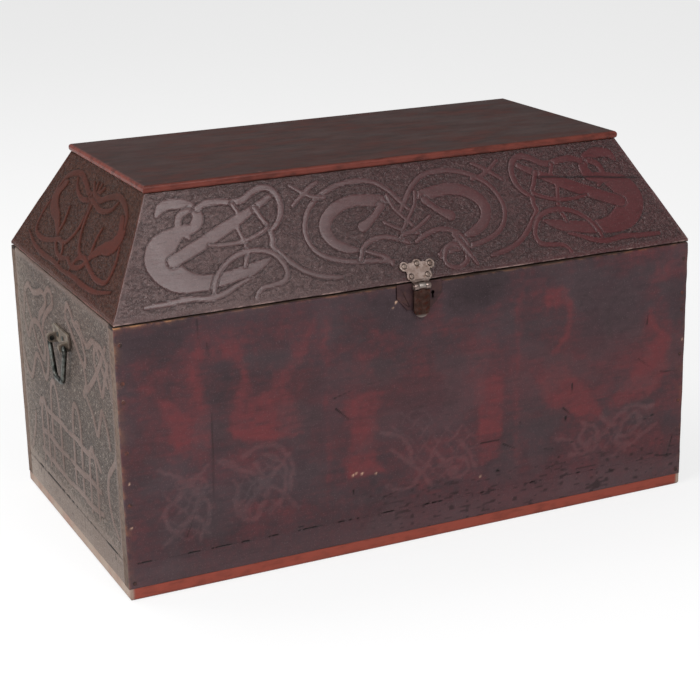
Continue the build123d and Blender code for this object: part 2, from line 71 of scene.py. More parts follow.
# Sizes read from the frame
case_low, case_high = in_mm(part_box("front_upper_board"))
half_w = case_high[0]
half_d = -case_low[1]
wall = case_high[1] - case_low[1]
rim_z = case_high[2]
joint_z = case_low[2]
base_high = in_mm(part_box("base_board"))[1]
base_z = base_high[2]
slope_top = in_mm(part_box("lid_front_board"))[1][2]
top_high = in_mm(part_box("lid_top_board"))[1]

# Sizes that the boxes don't give
LAND = 5.0          # height of the lid's upright strip below its slopes
END_RUN = 80.0      # how far the end slopes lean in
FRONT_RUN = 84.0    # how far the front and back slopes lean in
LID_BOARD = 16.0    # thickness of the lid's boards
slope_rise = slope_top - rim_z - LAND


# Noise and distances on flat panels

NOISE_CELLS = 256       # cells before the noise repeats
NOISE_SHIFT = 1000.0    # keeps the numbers of the cells positive
FAR = 1e3               # further than any place on a panel


def step(value, low, high):
    """0 below low, 1 above high, smooth between."""
    t = np.clip((value - low) / (high - low), 0, 1)
    return t * t * (3 - 2 * t)


def bilinear(field, i, j, fx, fy):
    """Values between the four corners of a grid's cells."""
    return ((field[i, j] * (1 - fx) + field[i + 1, j] * fx) * (1 - fy)
            + (field[i, j + 1] * (1 - fx) + field[i + 1, j + 1] * fx) * fy)


def noise(u, v, size_u, size_v, seed):
    """Smooth value noise from 0 to 1 with cells of the given size."""
    grid = np.random.RandomState(seed).rand(NOISE_CELLS + 1, NOISE_CELLS + 1)
    x, y = u / size_u + NOISE_SHIFT, v / size_v + NOISE_SHIFT
    i, j = np.floor(x).astype(int), np.floor(y).astype(int)
    return bilinear(grid, i % NOISE_CELLS, j % NOISE_CELLS, step(x - i, 0, 1), step(y - j, 0, 1))


def curve_points(points, spacing=1.0):
    """Points (u, v, half width) along a smooth curve through the control points."""
    p = np.array(points, float)
    if len(p) == 2:
        p = np.vstack([p[0], (p[0] + p[1]) / 2, p[1]])
    ends = np.vstack([2 * p[0] - p[1], p, 2 * p[-1] - p[-2]])
    out = []
    for k in range(len(p) - 1):
        a, b, c, d = ends[k:k + 4]
        count = max(2, int(np.hypot(*(c - b)[:2]) / spacing))
        t = np.linspace(0, 1, count, endpoint=False)[:, None]
        out.append(0.5 * (2 * b + (c - a) * t + (2 * a - 5 * b + 4 * c - d) * t ** 2
                          + (3 * b - a - 3 * c + d) * t ** 3))
    out.append(p[-1:])
    return np.vstack(out)


class Panel:
    """A flat raster, one sample per millimetre, that ribbons are drawn on."""

    def __init__(self, low, high):
        self.low = np.array(low, float)
        self.shape = tuple(int(b - a) + 1 for a, b in zip(low, high))

    def stamp(self, path, reach):
        """Signed distance to one band's edge and the index of its nearest point."""
        distance = np.full(self.shape, FAR)
        nearest = np.zeros(self.shape, int)
        for k, (u, v, half) in enumerate(path):
            r = half + reach
            i0 = max(int(u - r - self.low[0]), 0)
            j0 = max(int(v - r - self.low[1]), 0)
            i1 = min(int(u + r - self.low[0]) + 2, self.shape[0])
            j1 = min(int(v + r - self.low[1]) + 2, self.shape[1])
            if i1 <= i0 or j1 <= j0:
                continue
            du = np.arange(i0, i1)[:, None] + self.low[0] - u
            dv = np.arange(j0, j1)[None, :] + self.low[1] - v
            d = np.hypot(du, dv) - half
            window = distance[i0:i1, j0:j1]
            closer = d < window
            window[closer] = d[closer]
            nearest[i0:i1, j0:j1][closer] = k
        return distance, nearest

    def sample(self, field, u, v):
        """Bilinear values of a field at any places."""
        x = np.clip(u - self.low[0], 0, self.shape[0] - 1.001)
        y = np.clip(v - self.low[1], 0, self.shape[1] - 1.001)
        i, j = x.astype(int), y.astype(int)
        return bilinear(field, i, j, x - i, y - j)

    def outline(self, points):
        """Signed distance to a closed outline, negative inside."""
        u = np.arange(self.shape[0])[:, None] + self.low[0]
        v = np.arange(self.shape[1])[None, :] + self.low[1]
        distance = np.full(self.shape, FAR)
        inside = np.zeros(self.shape, bool)
        corners = np.array(points, float)
        for (ax, ay), (bx, by) in zip(corners, np.roll(corners, -1, 0)):
            dx, dy = bx - ax, by - ay + 1e-6
            t = np.clip(((u - ax) * dx + (v - ay) * dy) / (dx * dx + dy * dy), 0, 1)
            distance = np.minimum(distance, np.hypot(u - ax - t * dx, v - ay - t * dy))
            inside ^= ((ay > v) != (by > v)) & (u < ax + (v - ay) * dx / dy)
        return np.where(inside, -distance, distance)


CUT = 1.6           # width of the dark cut beside a band that passes over another
CROSSING = 1.2      # bands cross where their middles come as near as this
SAME_CURL = 25      # points of one band that are too close along it to cross
APART = 6           # points between two crossings
OPEN_GROUND = -9.0  # level of a place that no band covers


def crossings(paths, a):
    """Where band a crosses a band: its point, the other band and the other's point."""
    marks = []
    for b, path in enumerate(paths):
        gap = np.hypot(paths[a][:, None, 0] - path[None, :, 0],
                       paths[a][:, None, 1] - path[None, :, 1])
        if a == b:
            count = np.arange(len(path))
            gap[np.abs(np.subtract.outer(count, count)) < SAME_CURL] = FAR
        best = gap.min(1)
        hits = np.where(best < CROSSING)[0]
        for group in np.split(hits, np.where(np.diff(hits) > APART)[0] + 1):
            if len(group):
                k = group[np.argmin(best[group])]
                marks.append((k, b, int(np.argmin(gap[k]))))
    return sorted(marks)


def weave(paths):
    """For each point of each band: 1 where it passes over another, -1 where it passes under."""
    lifts = [np.zeros(len(p)) for p in paths]
    for a in range(len(paths)):
        turn = 1.0
        for k, b, other in crossings(paths, a):
            reach = int(paths[a][k, 2] + paths[b][other, 2]) + 4
            if lifts[a][k] == 0:
                lifts[a][max(k - reach, 0):k + reach] = turn
                lifts[b][max(other - reach, 0):other + reach] = -turn
            turn = -np.sign(lifts[a][k])
    return lifts


def interlace(panel, bands):
    """Draws woven bands. Gives the distance to the nearest band's edge, negative on a band,
    the place across the band from 0 at its middle to 1 at its edge, and the cuts."""
    paths = [curve_points(b) for b in bands]
    distance = np.full(panel.shape, 30.0)
    across = np.ones(panel.shape)
    cut = np.zeros(panel.shape)
    level = np.full(panel.shape, OPEN_GROUND)
    for order, (path, lift) in enumerate(zip(paths, weave(paths))):
        d, k = panel.stamp(path, 8.0)
        height = lift[k] + order * 0.001
        over = (d < CUT) & (height > level)
        wins = over | (d < distance) & (distance > 0)
        own = np.where(over & (distance < 0) & (d > 0), -0.01, d)
        distance = np.where(wins, own, distance)
        across = np.where(over, np.clip(1 + d / path[k, 2], 0, 1.3), across)
        cut = np.where(over, step(d, -0.2, 0.4) * (level > OPEN_GROUND), cut)
        level = np.where(d < 0, np.maximum(height, level), level)
    return distance, across, cut


def tapered(end, middle, *spots):
    """A band of one half width, but for its two ends."""
    halves = [end] + [middle] * (len(spots) - 2) + [end]
    return [(u, v, half) for (u, v), half in zip(spots, halves)]


def mirrored(bands):
    """The same bands on the other side of the middle."""
    return [[(-u, v, half) for u, v, half in band] for band in bands]


# Ornament of the lid's front slope: (along, up the slope, half width), seen from outside

FRONT_BEAST = [
    # body, from the neck round to the tapering tail
    [(-318, 112, 5), (-340, 104, 11), (-362, 88, 19), (-368, 66, 22), (-352, 46, 20),
     (-326, 36, 13), (-298, 35, 10), (-268, 39, 9), (-240, 45, 8), (-214, 55, 2)],
    # long leg with its rounded foot
    [(-351, 68, 8), (-330, 77, 9), (-300, 90, 9), (-272, 103, 9), (-250, 113, 8), (-228, 124, 6),
     (-208, 134, 5), (-193, 143, 4)],
    # head
    [(-360, 133, 3), (-350, 144, 7), (-330, 147, 8), (-312, 141, 8), (-303, 128, 8), (-308, 115, 8),
     (-320, 106, 5)],
    [(-314, 136, 4), (-327, 130, 5), (-333, 118, 5), (-329, 106, 5), (-321, 97, 3)],
    # ribbons that leave the head and bind the body
    [(-302, 137, 4), (-285, 143, 5), (-265, 142, 5), (-247, 139, 5), (-233, 142, 5), (-220, 150, 5),
     (-203, 155, 5), (-190, 150, 5), (-183, 136, 5), (-184, 119, 5), (-191, 105, 4), (-200, 96, 4)],
    [(-251, 136, 3.5), (-246, 122, 3.5), (-251, 105, 3.5), (-248, 90, 3.5), (-245, 76, 3.5),
     (-247, 62, 3.5), (-252, 51, 3)],
    [(-221, 128, 4), (-214, 112, 4), (-207, 98, 4.5), (-205, 82, 4.5), (-207, 70, 4.5),
     (-199, 59, 5), (-186, 45, 4.5), (-171, 32, 4), (-154, 23, 4), (-136, 18, 4), (-118, 15, 3)],
    [(-296, 84, 2), (-280, 82, 2.5), (-260, 82, 3), (-240, 85, 3), (-222, 91, 3), (-208, 98, 3)],
    [(-306, 14, 3), (-301, 28, 3.5), (-292, 44, 3.5), (-277, 57, 3.5), (-259, 66, 4), (-240, 69, 4),
     (-222, 67, 4), (-208, 60, 4), (-199, 48, 4), (-195, 34, 4), (-201, 22, 4), (-218, 18, 3.5),
     (-234, 16, 3.5), (-243, 10, 3), (-247, 3, 3)],
    [(-402, 12, 3), (-372, 13, 4), (-340, 15, 4), (-312, 12, 4), (-290, 16, 4), (-268, 25, 3),
     (-250, 31, 2)],
]
FRONT_MIDDLE = [
    # outer ring
    tapered(3, 4, (-36, 27), (-70, 32), (-100, 35), (-130, 44), (-148, 58), (-156, 80), (-150, 105),
            (-134, 125), (-106, 141), (-72, 148), (-42, 145), (-20, 131), (-6, 114), (6, 98)),
    # broad inner body
    [(-27, 116, 7), (-48, 118, 9), (-75, 120, 9), (-100, 114, 9), (-119, 100, 9), (-126, 84, 9),
     (-119, 66, 8), (-101, 54, 7), (-80, 48, 3)],
    # tongue with its round end
    [(-34, 108, 6), (-46, 96, 5), (-58, 87, 6), (-69, 81, 8)],
    # small crossing ribbons
    tapered(3, 3, (-22, 122), (-17, 104), (-5, 88), (8, 72), (16, 58)),
    [(-36, 84, 3), (-20, 74, 3), (-4, 66, 3), (12, 62, 3)],
    tapered(3, 3.5, (-163, 153), (-147, 141), (-132, 133), (-116, 130)),
    tapered(3, 3.5, (-165, 124), (-148, 137), (-134, 147), (-122, 153)),
    [(-84, 36, 3.5), (-75, 52, 4), (-60, 61, 4), (-40, 63, 4), (-20, 57, 4), (-6, 50, 3)],
    tapered(3, 3.5, (-72, 46), (-58, 40), (-44, 33), (-38, 22)),
]
FRONT_RIGHT_ONLY = [
    # small knot to the right of the hasp
    [(42, 20, 3), (50, 35, 4), (64, 38, 4), (78, 28, 4), (76, 12, 4), (60, 5, 3.5), (46, 10, 3.5),
     (42, 19, 3)],
    [(92, 6, 3), (84, 22, 3.5), (74, 40, 4), (66, 52, 4)],
]

# Ornament of the end slopes, one half
END_SLOPE = [
    [(-126, 120, 5), (-143, 108, 11), (-147, 92, 14), (-132, 78, 12), (-108, 70, 9), (-88, 58, 7),
     (-72, 44, 3)],
    [(-150, 112, 3), (-140, 126, 4), (-114, 138, 5), (-84, 142, 5), (-52, 134, 5), (-24, 124, 5),
     (4, 128, 4), (24, 142, 3)],
    tapered(3, 4, (-92, 134), (-76, 120), (-44, 112), (-12, 116), (18, 120)),
    tapered(3, 4, (-8, 144), (-3, 120), (-3, 92), (-12, 66), (-34, 46), (-62, 44), (-84, 52)),
    tapered(3, 4, (-162, 84), (-172, 62), (-168, 36), (-132, 30), (-92, 36), (-58, 44), (-34, 36),
            (-26, 18)),
    tapered(3, 4, (-76, 92), (-72, 70), (-76, 48), (-58, 30), (-28, 24), (4, 30)),
    [(-196, 28, 2), (-150, 16, 3.5), (-100, 12, 4), (-50, 13, 4), (0, 10, 3)],
]

# Ornament of the ends of the case: (towards the viewer's right, above the floor, half width)
END_LEFT = [
    tapered(4, 5, (-202, 296), (-192, 328), (-168, 346), (-144, 340), (-118, 346), (-94, 353),
            (-76, 344), (-90, 328), (-112, 314), (-122, 296)),
    tapered(4, 5, (-82, 350), (-58, 366), (-40, 360), (-44, 344), (-68, 330), (-92, 312),
            (-104, 292)),
    tapered(4, 5, (-218, 302), (-202, 280), (-186, 262), (-166, 284), (-140, 296), (-112, 290),
            (-96, 268), (-106, 246), (-132, 256), (-152, 276), (-168, 300), (-188, 326)),
    tapered(4, 5, (-236, 276), (-226, 232), (-206, 202), (-186, 196), (-170, 214), (-150, 240),
            (-126, 236), (-106, 216), (-90, 230), (-82, 260), (-88, 292)),
    tapered(4, 5, (-86, 82), (-86, 130), (-86, 180), (-82, 208), (-68, 222), (-54, 214), (-44, 188),
            (-42, 150), (-40, 82)),
    [(-152, 88, 4), (-100, 86, 5), (-50, 84, 5), (-4, 82, 4)],
    [(-146, 122, 4), (-104, 124, 5), (-60, 120, 5), (-10, 122, 4)],
    tapered(4, 5, (-152, 160), (-140, 172), (-112, 166), (-80, 164), (-40, 166), (-8, 164)),
    tapered(4, 5, (-142, 74), (-142, 110), (-142, 150), (-128, 176), (-114, 158), (-112, 110),
            (-112, 74)),
    [(-226, 60, 4), (-206, 84, 5), (-190, 110, 5), (-180, 138, 4)],
]
END_RIGHT = [
    tapered(4, 5, (22, 342), (34, 366), (52, 360), (66, 346), (84, 351), (104, 338), (124, 330),
            (148, 344), (166, 340), (184, 318), (206, 296)),
    tapered(4, 5, (26, 346), (60, 322), (98, 296), (110, 308), (96, 334), (76, 342)),
    tapered(4, 5, (98, 296), (106, 272), (92, 250), (112, 264), (142, 286), (164, 306), (186, 328),
            (206, 350)),
    tapered(4, 5, (214, 330), (196, 302), (180, 276), (166, 296), (152, 322), (168, 344),
            (196, 338), (214, 310), (222, 280)),
    tapered(4, 5, (60, 86), (61, 140), (62, 190), (54, 214), (38, 218), (27, 200), (24, 150),
            (24, 86)),
    tapered(4, 5, (104, 250), (128, 232), (146, 208), (160, 230), (174, 250), (192, 230),
            (200, 206)),
    [(2, 84, 4), (50, 86, 5), (100, 84, 5), (150, 90, 4)],
    [(4, 122, 4), (50, 120, 5), (98, 124, 5), (146, 122, 4)],
    tapered(4, 5, (2, 164), (40, 166), (84, 162), (126, 168), (150, 156)),
    tapered(4, 5, (96, 76), (96, 120), (98, 154), (112, 176), (128, 156), (130, 116), (130, 76)),
    tapered(4, 5, (228, 250), (224, 200), (206, 180), (186, 160), (180, 130), (192, 100),
            (216, 80)),
]

# Soft red shapes in the stain of the front: (outline, softness, strength)
STAINS = [
    # left figure: horn and body left of the crack, then right of it
    ([(-338, 346), (-326, 344), (-326, 332), (-334, 322), (-336, 305), (-332, 285), (-325, 265),
      (-324, 205), (-375, 204), (-382, 240), (-396, 285), (-385, 280), (-368, 266), (-352, 256),
      (-347, 268), (-351, 290), (-352, 315), (-344, 335)], 5, 0.55),
    ([(-380, 217), (-360, 224), (-325, 229), (-324, 212), (-350, 213), (-372, 211)], 5, 0.95),
    ([(-385, 201), (-330, 201), (-324, 192), (-330, 181), (-352, 190), (-385, 195)], 5, 0.35),
    ([(-300, 345), (-282, 347), (-270, 332), (-264, 315), (-264, 285), (-270, 264), (-240, 262),
      (-215, 268), (-204, 255), (-192, 240), (-186, 215), (-190, 195), (-240, 196), (-270, 200),
      (-288, 210), (-297, 222), (-298, 240), (-292, 262), (-283, 280), (-278, 300), (-282, 322),
      (-296, 332)], 5, 0.55),
    ([(-297, 222), (-270, 222), (-230, 216), (-205, 204), (-188, 197), (-205, 194), (-240, 197),
      (-270, 202), (-288, 211)], 4, 1.0),
    ([(-170, 362), (-164, 366), (-163, 350), (-172, 335), (-180, 318), (-185, 306), (-200, 294),
      (-212, 270), (-230, 262), (-228, 285), (-215, 300), (-202, 318), (-196, 330), (-182, 334)], 6,
      0.5),
    ([(-425, 335), (-412, 338), (-404, 318), (-398, 296), (-408, 290), (-420, 310)], 9, 0.25),
    # stripes
    ([(-155, 364), (-144, 364), (-146, 318), (-154, 318)], 5, 0.6),
    ([(-153, 318), (-146, 318), (-147, 88), (-152, 88)], 4, 0.35),
    ([(152, 345), (159, 345), (159, 88), (153, 88)], 4, 0.4),
    # the two upright patches
    ([(-113, 241), (-64, 238), (-66, 222), (-74, 205), (-74, 180), (-76, 150), (-62, 132),
      (-62, 118), (-118, 119), (-119, 150), (-112, 180)], 5, 0.55),
    ([(-120, 118), (-120, 141), (-90, 144), (-65, 132), (-62, 118)], 4, 0.85),
    ([(-108, 312), (-92, 302), (-78, 280), (-78, 256), (-98, 258), (-106, 285)], 9, 0.3),
    ([(86, 234), (132, 236), (131, 170), (129, 145), (124, 104), (92, 102), (92, 140), (87, 170)],
      5, 0.55),
    ([(90, 170), (129, 170), (129, 145), (96, 142)], 4, 0.95),
    ([(64, 308), (84, 300), (114, 298), (110, 245), (84, 240), (66, 258)], 7, 0.32),
    # right figure
    ([(200, 330), (205, 345), (225, 350), (243, 345), (250, 325), (251, 300), (246, 285),
      (232, 262), (218, 247), (210, 250), (222, 266), (236, 286), (240, 302), (239, 318),
      (230, 325), (214, 321), (203, 320)], 4, 0.62),
    ([(192, 222), (200, 230), (218, 234), (240, 226), (262, 204), (280, 182), (292, 166),
      (301, 150), (300, 140), (280, 145), (252, 152), (238, 162), (214, 165), (200, 180),
      (192, 200)], 5, 0.62),
    ([(245, 165), (290, 161), (303, 150), (299, 139), (270, 145), (250, 151)], 5, 0.8),
    ([(383, 296), (392, 282), (398, 268), (412, 252), (422, 238), (419, 215), (410, 185),
      (402, 168), (385, 158), (360, 152), (330, 147), (314, 150), (322, 165), (345, 185),
      (362, 205), (372, 225), (385, 238), (398, 246), (398, 256), (388, 268), (380, 284)], 5, 0.66),
    ([(385, 336), (400, 332), (424, 344), (420, 362), (396, 360)], 9, 0.4),
    ([(300, 142), (330, 138), (370, 144), (404, 136), (400, 126), (350, 128), (310, 124)], 6, 0.35),
]
# Darker clouds in the stain: (outline, softness, strength)
CLOUDS = [
    ([(-446, 380), (-350, 384), (-356, 350), (-440, 344)], 22, 0.5),
    ([(-322, 318), (-300, 322), (-288, 304), (-288, 288), (-304, 262), (-318, 262), (-328, 290)], 8,
      0.25),
    ([(-319, 240), (-302, 240), (-302, 216), (-296, 204), (-290, 192), (-310, 182), (-319, 190)], 8,
      0.25),
    ([(-172, 300), (-158, 300), (-120, 250), (-118, 190), (-160, 160), (-178, 230)], 14, 0.3),
    ([(-84, 384), (-8, 384), (-6, 322), (-60, 330)], 18, 0.55),
    ([(36, 384), (134, 384), (130, 352), (96, 338), (40, 330)], 16, 0.8),
    ([(-40, 220), (-8, 224), (20, 240), (58, 236), (56, 204), (10, 182), (-40, 190)], 16, 0.4),
    ([(256, 360), (380, 352), (376, 300), (350, 250), (290, 232), (262, 262)], 20, 0.5),
    ([(400, 330), (446, 340), (446, 262), (424, 268)], 14, 0.45),
    ([(410, 120), (448, 124), (448, 40), (420, 50)], 12, 0.45),
    ([(-290, 142), (-244, 150), (-236, 120), (-280, 106)], 12, 0.35),
    ([(-200, 176), (-182, 172), (-176, 120), (-196, 112)], 8, 0.3),
]
# Faint lines of worn ribbons low on the front
GHOSTS = [
    [(-400, 186, 3), (-366, 160, 4), (-334, 128, 4), (-330, 96, 3), (-346, 72, 3)],
    tapered(3, 4, (-330, 176), (-362, 150), (-392, 120), (-384, 90), (-352, 106), (-330, 78)),
    tapered(3, 3, (-396, 72), (-372, 96), (-350, 118), (-334, 146), (-346, 164), (-368, 150)),
    [(-312, 176, 3), (-290, 168, 4), (-262, 148, 4), (-230, 122, 3), (-196, 88, 3)],
    [(-284, 100, 4), (-262, 124, 4), (-236, 146, 4), (-208, 172, 3)],
    [(-290, 148, 3), (-284, 104, 4), (-268, 86, 4), (-250, 102, 4), (-244, 134, 3), (-260, 168, 3)],
    tapered(3, 3, (-246, 176), (-222, 160), (-214, 132), (-226, 106), (-244, 92)),
    [(-278, 178, 3), (-250, 190, 3), (-220, 180, 4), (-204, 150, 3), (-210, 116, 3)],
    [(20, 130, 3), (38, 108, 4), (62, 86, 3)],
    [(62, 142, 3), (78, 120, 3), (86, 98, 3)],
    [(26, 112, 3), (48, 122, 3), (70, 112, 3), (72, 94, 3), (54, 88, 3), (40, 100, 3),
     (44, 116, 2)],
    [(-56, 96, 3), (-34, 84, 3), (-12, 92, 3), (8, 112, 3)],
    [(-50, 150, 3), (-24, 128, 3), (-2, 104, 3), (14, 82, 3)],
    [(-66, 176, 3), (-40, 168, 3), (-20, 150, 3), (-16, 126, 3)],
    [(266, 132, 3), (288, 124, 4), (294, 108, 3), (278, 98, 4), (264, 112, 3), (272, 128, 3)],
    [(300, 140, 3), (322, 118, 3), (346, 100, 4), (372, 116, 4), (362, 132, 3), (340, 118, 3),
     (330, 96, 3), (346, 74, 3)],
    [(222, 118, 3), (246, 112, 3), (262, 92, 3), (280, 74, 3)],
    tapered(3, 3, (250, 82), (276, 84), (300, 102), (326, 132), (360, 146), (396, 136)),
    [(322, 72, 3), (350, 84, 3), (380, 96, 3), (400, 110, 3)],
]
# Nets of fine crossing lines among them: (middle, reach, spacing)
NETS = [
    ((-248, 126), (54, 52), 17), ((-362, 118), (48, 56), 19), ((42, 128), (62, 48), 18),
    ((318, 104), (72, 36), 19), ((-20, 180), (40, 30), 20),
]
# Small chips of pale ground showing through
CHIPS = [
    (-41, 366, 1.2), (-46, 358, 0.6), (-26, 367, 0.6), (-112, 121, 1.0), (-107, 123, 0.9),
    (-98, 121, 1.1), (-76, 117, 0.8), (94, 80, 0.8), (445, 238, 0.8), (-443, 366, 1.0),
    (-442, 312, 1.0), (-443, 288, 0.8), (-441, 171, 0.8), (-442, 107, 0.8),
]
# Where the glue joint of the front has opened: (from, to)
JOINT_GAPS = [
    (-435, -412), (-362, -347), (-327, -300), (-283, -273), (-242, -230), (-197, -162),
    (-136, -128), (-118, -105), (-72, -42), (5, 30), (96, 104), (180, 188), (262, 268),
]
# The painted crack left of the middle
CRACK_U = -321
# Dents, scratches and open checks: (from, to, half width, depth)
DENTS = [
    ((-138, 241), (-115, 247), 1.2, 1.0), ((-136, 225), (-117, 207), 1.6, 1.4),
    ((-90, 252), (-60, 256), 0.9, 0.7), ((-364, 78), (-350, 111), 1.2, 0.9),
    ((250, 198), (249, 182), 1.8, 1.2), ((235, 163), (247, 152), 1.8, 1.4),
    ((240, 147), (239, 142), 3.5, 1.6), ((95, 132), (126, 132), 1.0, 1.1),
    ((133, 124), (152, 114), 1.8, 1.2), ((203, 103), (218, 102), 1.4, 1.2),
    ((35, 80), (50, 81), 1.4, 1.2), ((123, 84), (128, 82), 3.2, 1.6),
    ((161, 153), (162, 153), 2.0, 1.2), ((366, 219), (388, 203), 0.9, 0.8),
    ((407, 192), (438, 189), 1.4, 1.1), ((-322, 350), (-321, 332), 1.4, 0.8),
    ((-335, 385), (-333, 350), 1.8, 0.6), ((-66, 78), (-40, 84), 1.3, 1.1),
    ((-112, 98), (-111, 92), 2.5, 1.3), ((-86, 84), (-80, 84), 1.8, 1.0),
    ((394, 124), (399, 125), 2.6, 1.3), ((380, 120), (392, 118), 1.2, 0.9),
    ((434, 84), (424, 52), 1.5, 1.0), ((222, 76), (240, 75), 1.2, 0.9),
    ((228, 86), (232, 86), 2.0, 1.1), ((250, 106), (255, 106), 1.8, 1.0),
    ((176, 333), (192, 346), 0.7, 0.4), ((330, 338), (352, 352), 0.7, 0.4),
    ((320, 48), (330, 46), 2.6, 1.2), ((380, 272), (382, 288), 3.0, 0.8),
    ((-199, 60), (-186, 58), 1.6, 1.0),
]


# Boards with a finely divided outer face

def spaced(low, high, cell, edge):
    """Places from low to high, crowded near both ends so that a rounded edge is smooth."""
    fine = edge * np.array([0.0, 0.06, 0.2, 0.42, 0.7])
    count = int((high - low - 2 * edge) / cell)
    middle = np.linspace(low + edge, high - edge, count)
    return np.concatenate([low + fine, middle, high - fine[::-1]])


def quarter(distance, radius):
    """Depth of a rounded edge at a distance from it."""
    d = np.clip(distance, 0, radius)
    return radius - np.sqrt(np.maximum(radius ** 2 - (radius - d) ** 2, 0))


def places(*parts):
    """Adds up amounts along directions, for each point of a grid."""
    return sum(amount[..., None] * direction for amount, direction in parts)


def board_faces(n, m):
    """The quads of a face of n by m points, and the triangles that close it with four inner
    corners, whose numbers follow those of the face."""
    ids = np.arange(n * m).reshape(n, m)
    a, b, c, d = n * m + np.arange(4)
    quads = np.stack([ids[:-1, :-1], ids[1:, :-1], ids[1:, 1:], ids[:-1, 1:]], -1)
    triangles = []
    for line, first, last, flip in ((ids[:, 0], a, b, False), (ids[:, -1], d, c, True),
                                    (ids[-1, :], b, c, False), (ids[0, :], a, d, True)):
        middle = len(line) // 2
        for k in range(len(line) - 1):
            pair = (line[k], line[k + 1]) if flip else (line[k + 1], line[k])
            triangles.append((*pair, first if k < middle else last))
        triangles.append((line[middle], last, first) if flip else (line[middle], first, last))
    return quads.reshape(-1, 4), np.array(triangles + [(a, d, c), (a, c, b)])


def board(name, face, inner, values):
    """A closed board. face is an array (along, up, xyz) of its outer surface, inner its four
    inner corners, and values are numbers at each point of the face for the material."""
    n, m = face.shape[:2]
    quads, triangles = board_faces(n, m)
    points = np.vstack([face.reshape(-1, 3), np.array(inner, float)]) * MM
    loops = np.concatenate([quads.ravel(), triangles.ravel()])
    sizes = np.concatenate([np.full(len(quads), 4), np.full(len(triangles), 3)])
    starts = np.concatenate([[0], np.cumsum(sizes)[:-1]])
    mesh = bpy.data.meshes.new(name)
    for layer, count, key, numbers in (
            (mesh.vertices, len(points), "co", points.astype(np.float32)),
            (mesh.loops, len(loops), "vertex_index", loops.astype(np.int32)),
            (mesh.polygons, len(sizes), "loop_start", starts.astype(np.int32))):
        layer.add(count)
        layer.foreach_set(key, numbers.ravel())
    mesh.update(calc_edges=True)
    smooth = np.arange(len(sizes)) < len(quads)
    mesh.polygons.foreach_set("use_smooth", smooth)
    mesh.attributes.new("carved_face", "BOOLEAN", "FACE").data.foreach_set("value", smooth)
    for key, value in values.items():
        layer = mesh.attributes.new(key, "FLOAT", "POINT")
        # The four inner corners get dark at 1, meant as painted shade towards the inside of the
        # board's edges; the raw wood on those edges does not read it
        at_corners = np.full(4, key == "dark")
        padded = np.concatenate([np.broadcast_to(value, (n, m)).ravel(), at_corners])
        layer.data.foreach_set("value", padded.astype(np.float32))
    piece = bpy.data.objects.new(name, mesh)
    bpy.context.scene.collection.objects.link(piece)
    return piece


def cavity(h, passes=6):
    """Positive in hollows, negative on ridges. The material darkens the hollows with it, as painted
    shade.
    """
    field = h
    for _ in range(passes):
        pad = np.pad(field, 1, mode="edge")
        field = (pad[:-2, 1:-1] + pad[2:, 1:-1] + pad[1:-1, :-2] + pad[1:-1, 2:] + field * 2) / 6
    return np.clip((field - h) * 1.2, -1, 1)


def carve(u, v, distance, across, cut, depth, seed):
    """Height of carved ornament, and the masks that go with it. The ground is punched down with
    short wavy strokes, and a fine line is cut along both edges of each band."""
    band = step(distance, 0.8, -0.4)
    worn = noise(u, v, 60, 40, seed)
    wave = 5 * noise(u, v, 13, 11, seed + 4)
    strokes = noise(u + wave, v + 0.8 * wave, 5.0, 2.3, seed + 1) * 0.65
    strokes += noise(u - wave, v + wave, 2.6, 2.0, seed + 2) * 0.35
    pits = step(strokes, 0.58, 0.36) * (1 - band)
    ground = -depth * (0.4 + 0.4 * worn) - pits * depth * 0.55
    ribbon = -0.2 * across ** 2 - 0.12 * noise(u, v, 9, 3, seed + 3)
    line = np.exp(-((distance - 1.0) / 0.9) ** 2) * (0.6 + 0.4 * worn)
    line = np.maximum(line, cut)
    height = ribbon * band + ground * (1 - band) - line * depth * 0.4
    return height, band, pits, line


# Case walls

EVEN_GAP = 1.2      # between lid and case, away from the front
JOINT_DEPTH = 1.6   # of an open glue joint
PARTS = ("upper", "lower")
PART_HEIGHTS = ((joint_z, rim_z), (base_z, joint_z))


def lid_gap(u, side):
    """How far the lid stands open. It is worn in places along the front."""
    if side[1] >= 0:
        return EVEN_GAP
    worn = np.interp(u, [-450, -200, 40, 250, 450], [2.0, 3.0, 4.6, 3.6, 1.8])
    return worn + 0.4 * noise(u, 0 * u, 30, 9, 88)


def wall_board(name, node, side, span, z_range, cell, height, values, edges):
    """One board of the case. side is the unit direction that its face looks in, and edges
    are the roundings of its two ends, its foot and its top."""
    side = np.array(side, float)
    along = np.cross(UP, side)
    out = half_d if side[0] == 0 else half_w
    uu, vv = np.meshgrid(spaced(*span, cell, 3.0), spaced(*z_range, cell, 3.0), indexing="ij")
    h = height(uu, vv)
    wobble = 0.55 + 0.9 * noise(uu + 7 * out, vv, 23, 17, 91)
    distances = (uu - span[0], span[1] - uu, vv - z_range[0], z_range[1] - vv)
    for distance, radius in zip(distances, edges):
        h = h - quarter(distance, radius * wobble)
    drop = 0.5 * lid_gap(uu, side) * step(vv, rim_z - 5, rim_z)
    face = places((uu, along), (vv - drop, UP), (out + np.minimum(h, -0.02), side))
    low, high = z_range
    inner = [a * along + z * UP + (out - wall) * side
             for a, z in ((span[0], low), (span[1], low), (span[1], high), (span[0], high))]
    piece = board(name, face, inner, {**values(uu, vv), "cavity": cavity(h)})
    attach(piece, "case")
    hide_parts(node)


front_panel = Panel((-half_w, 0), (half_w, rim_z))


def stain_map():
    """The red shapes of the front, less its dark clouds."""
    total = np.zeros(front_panel.shape)
    for points, soft, strength in STAINS:
        inside = step(-front_panel.outline(points), -1.6 * soft, 1.6 * soft)
        total = np.maximum(total, strength * inside)
    for points, soft, strength in CLOUDS:
        total = total - strength * step(-front_panel.outline(points), -soft, soft)
    return total


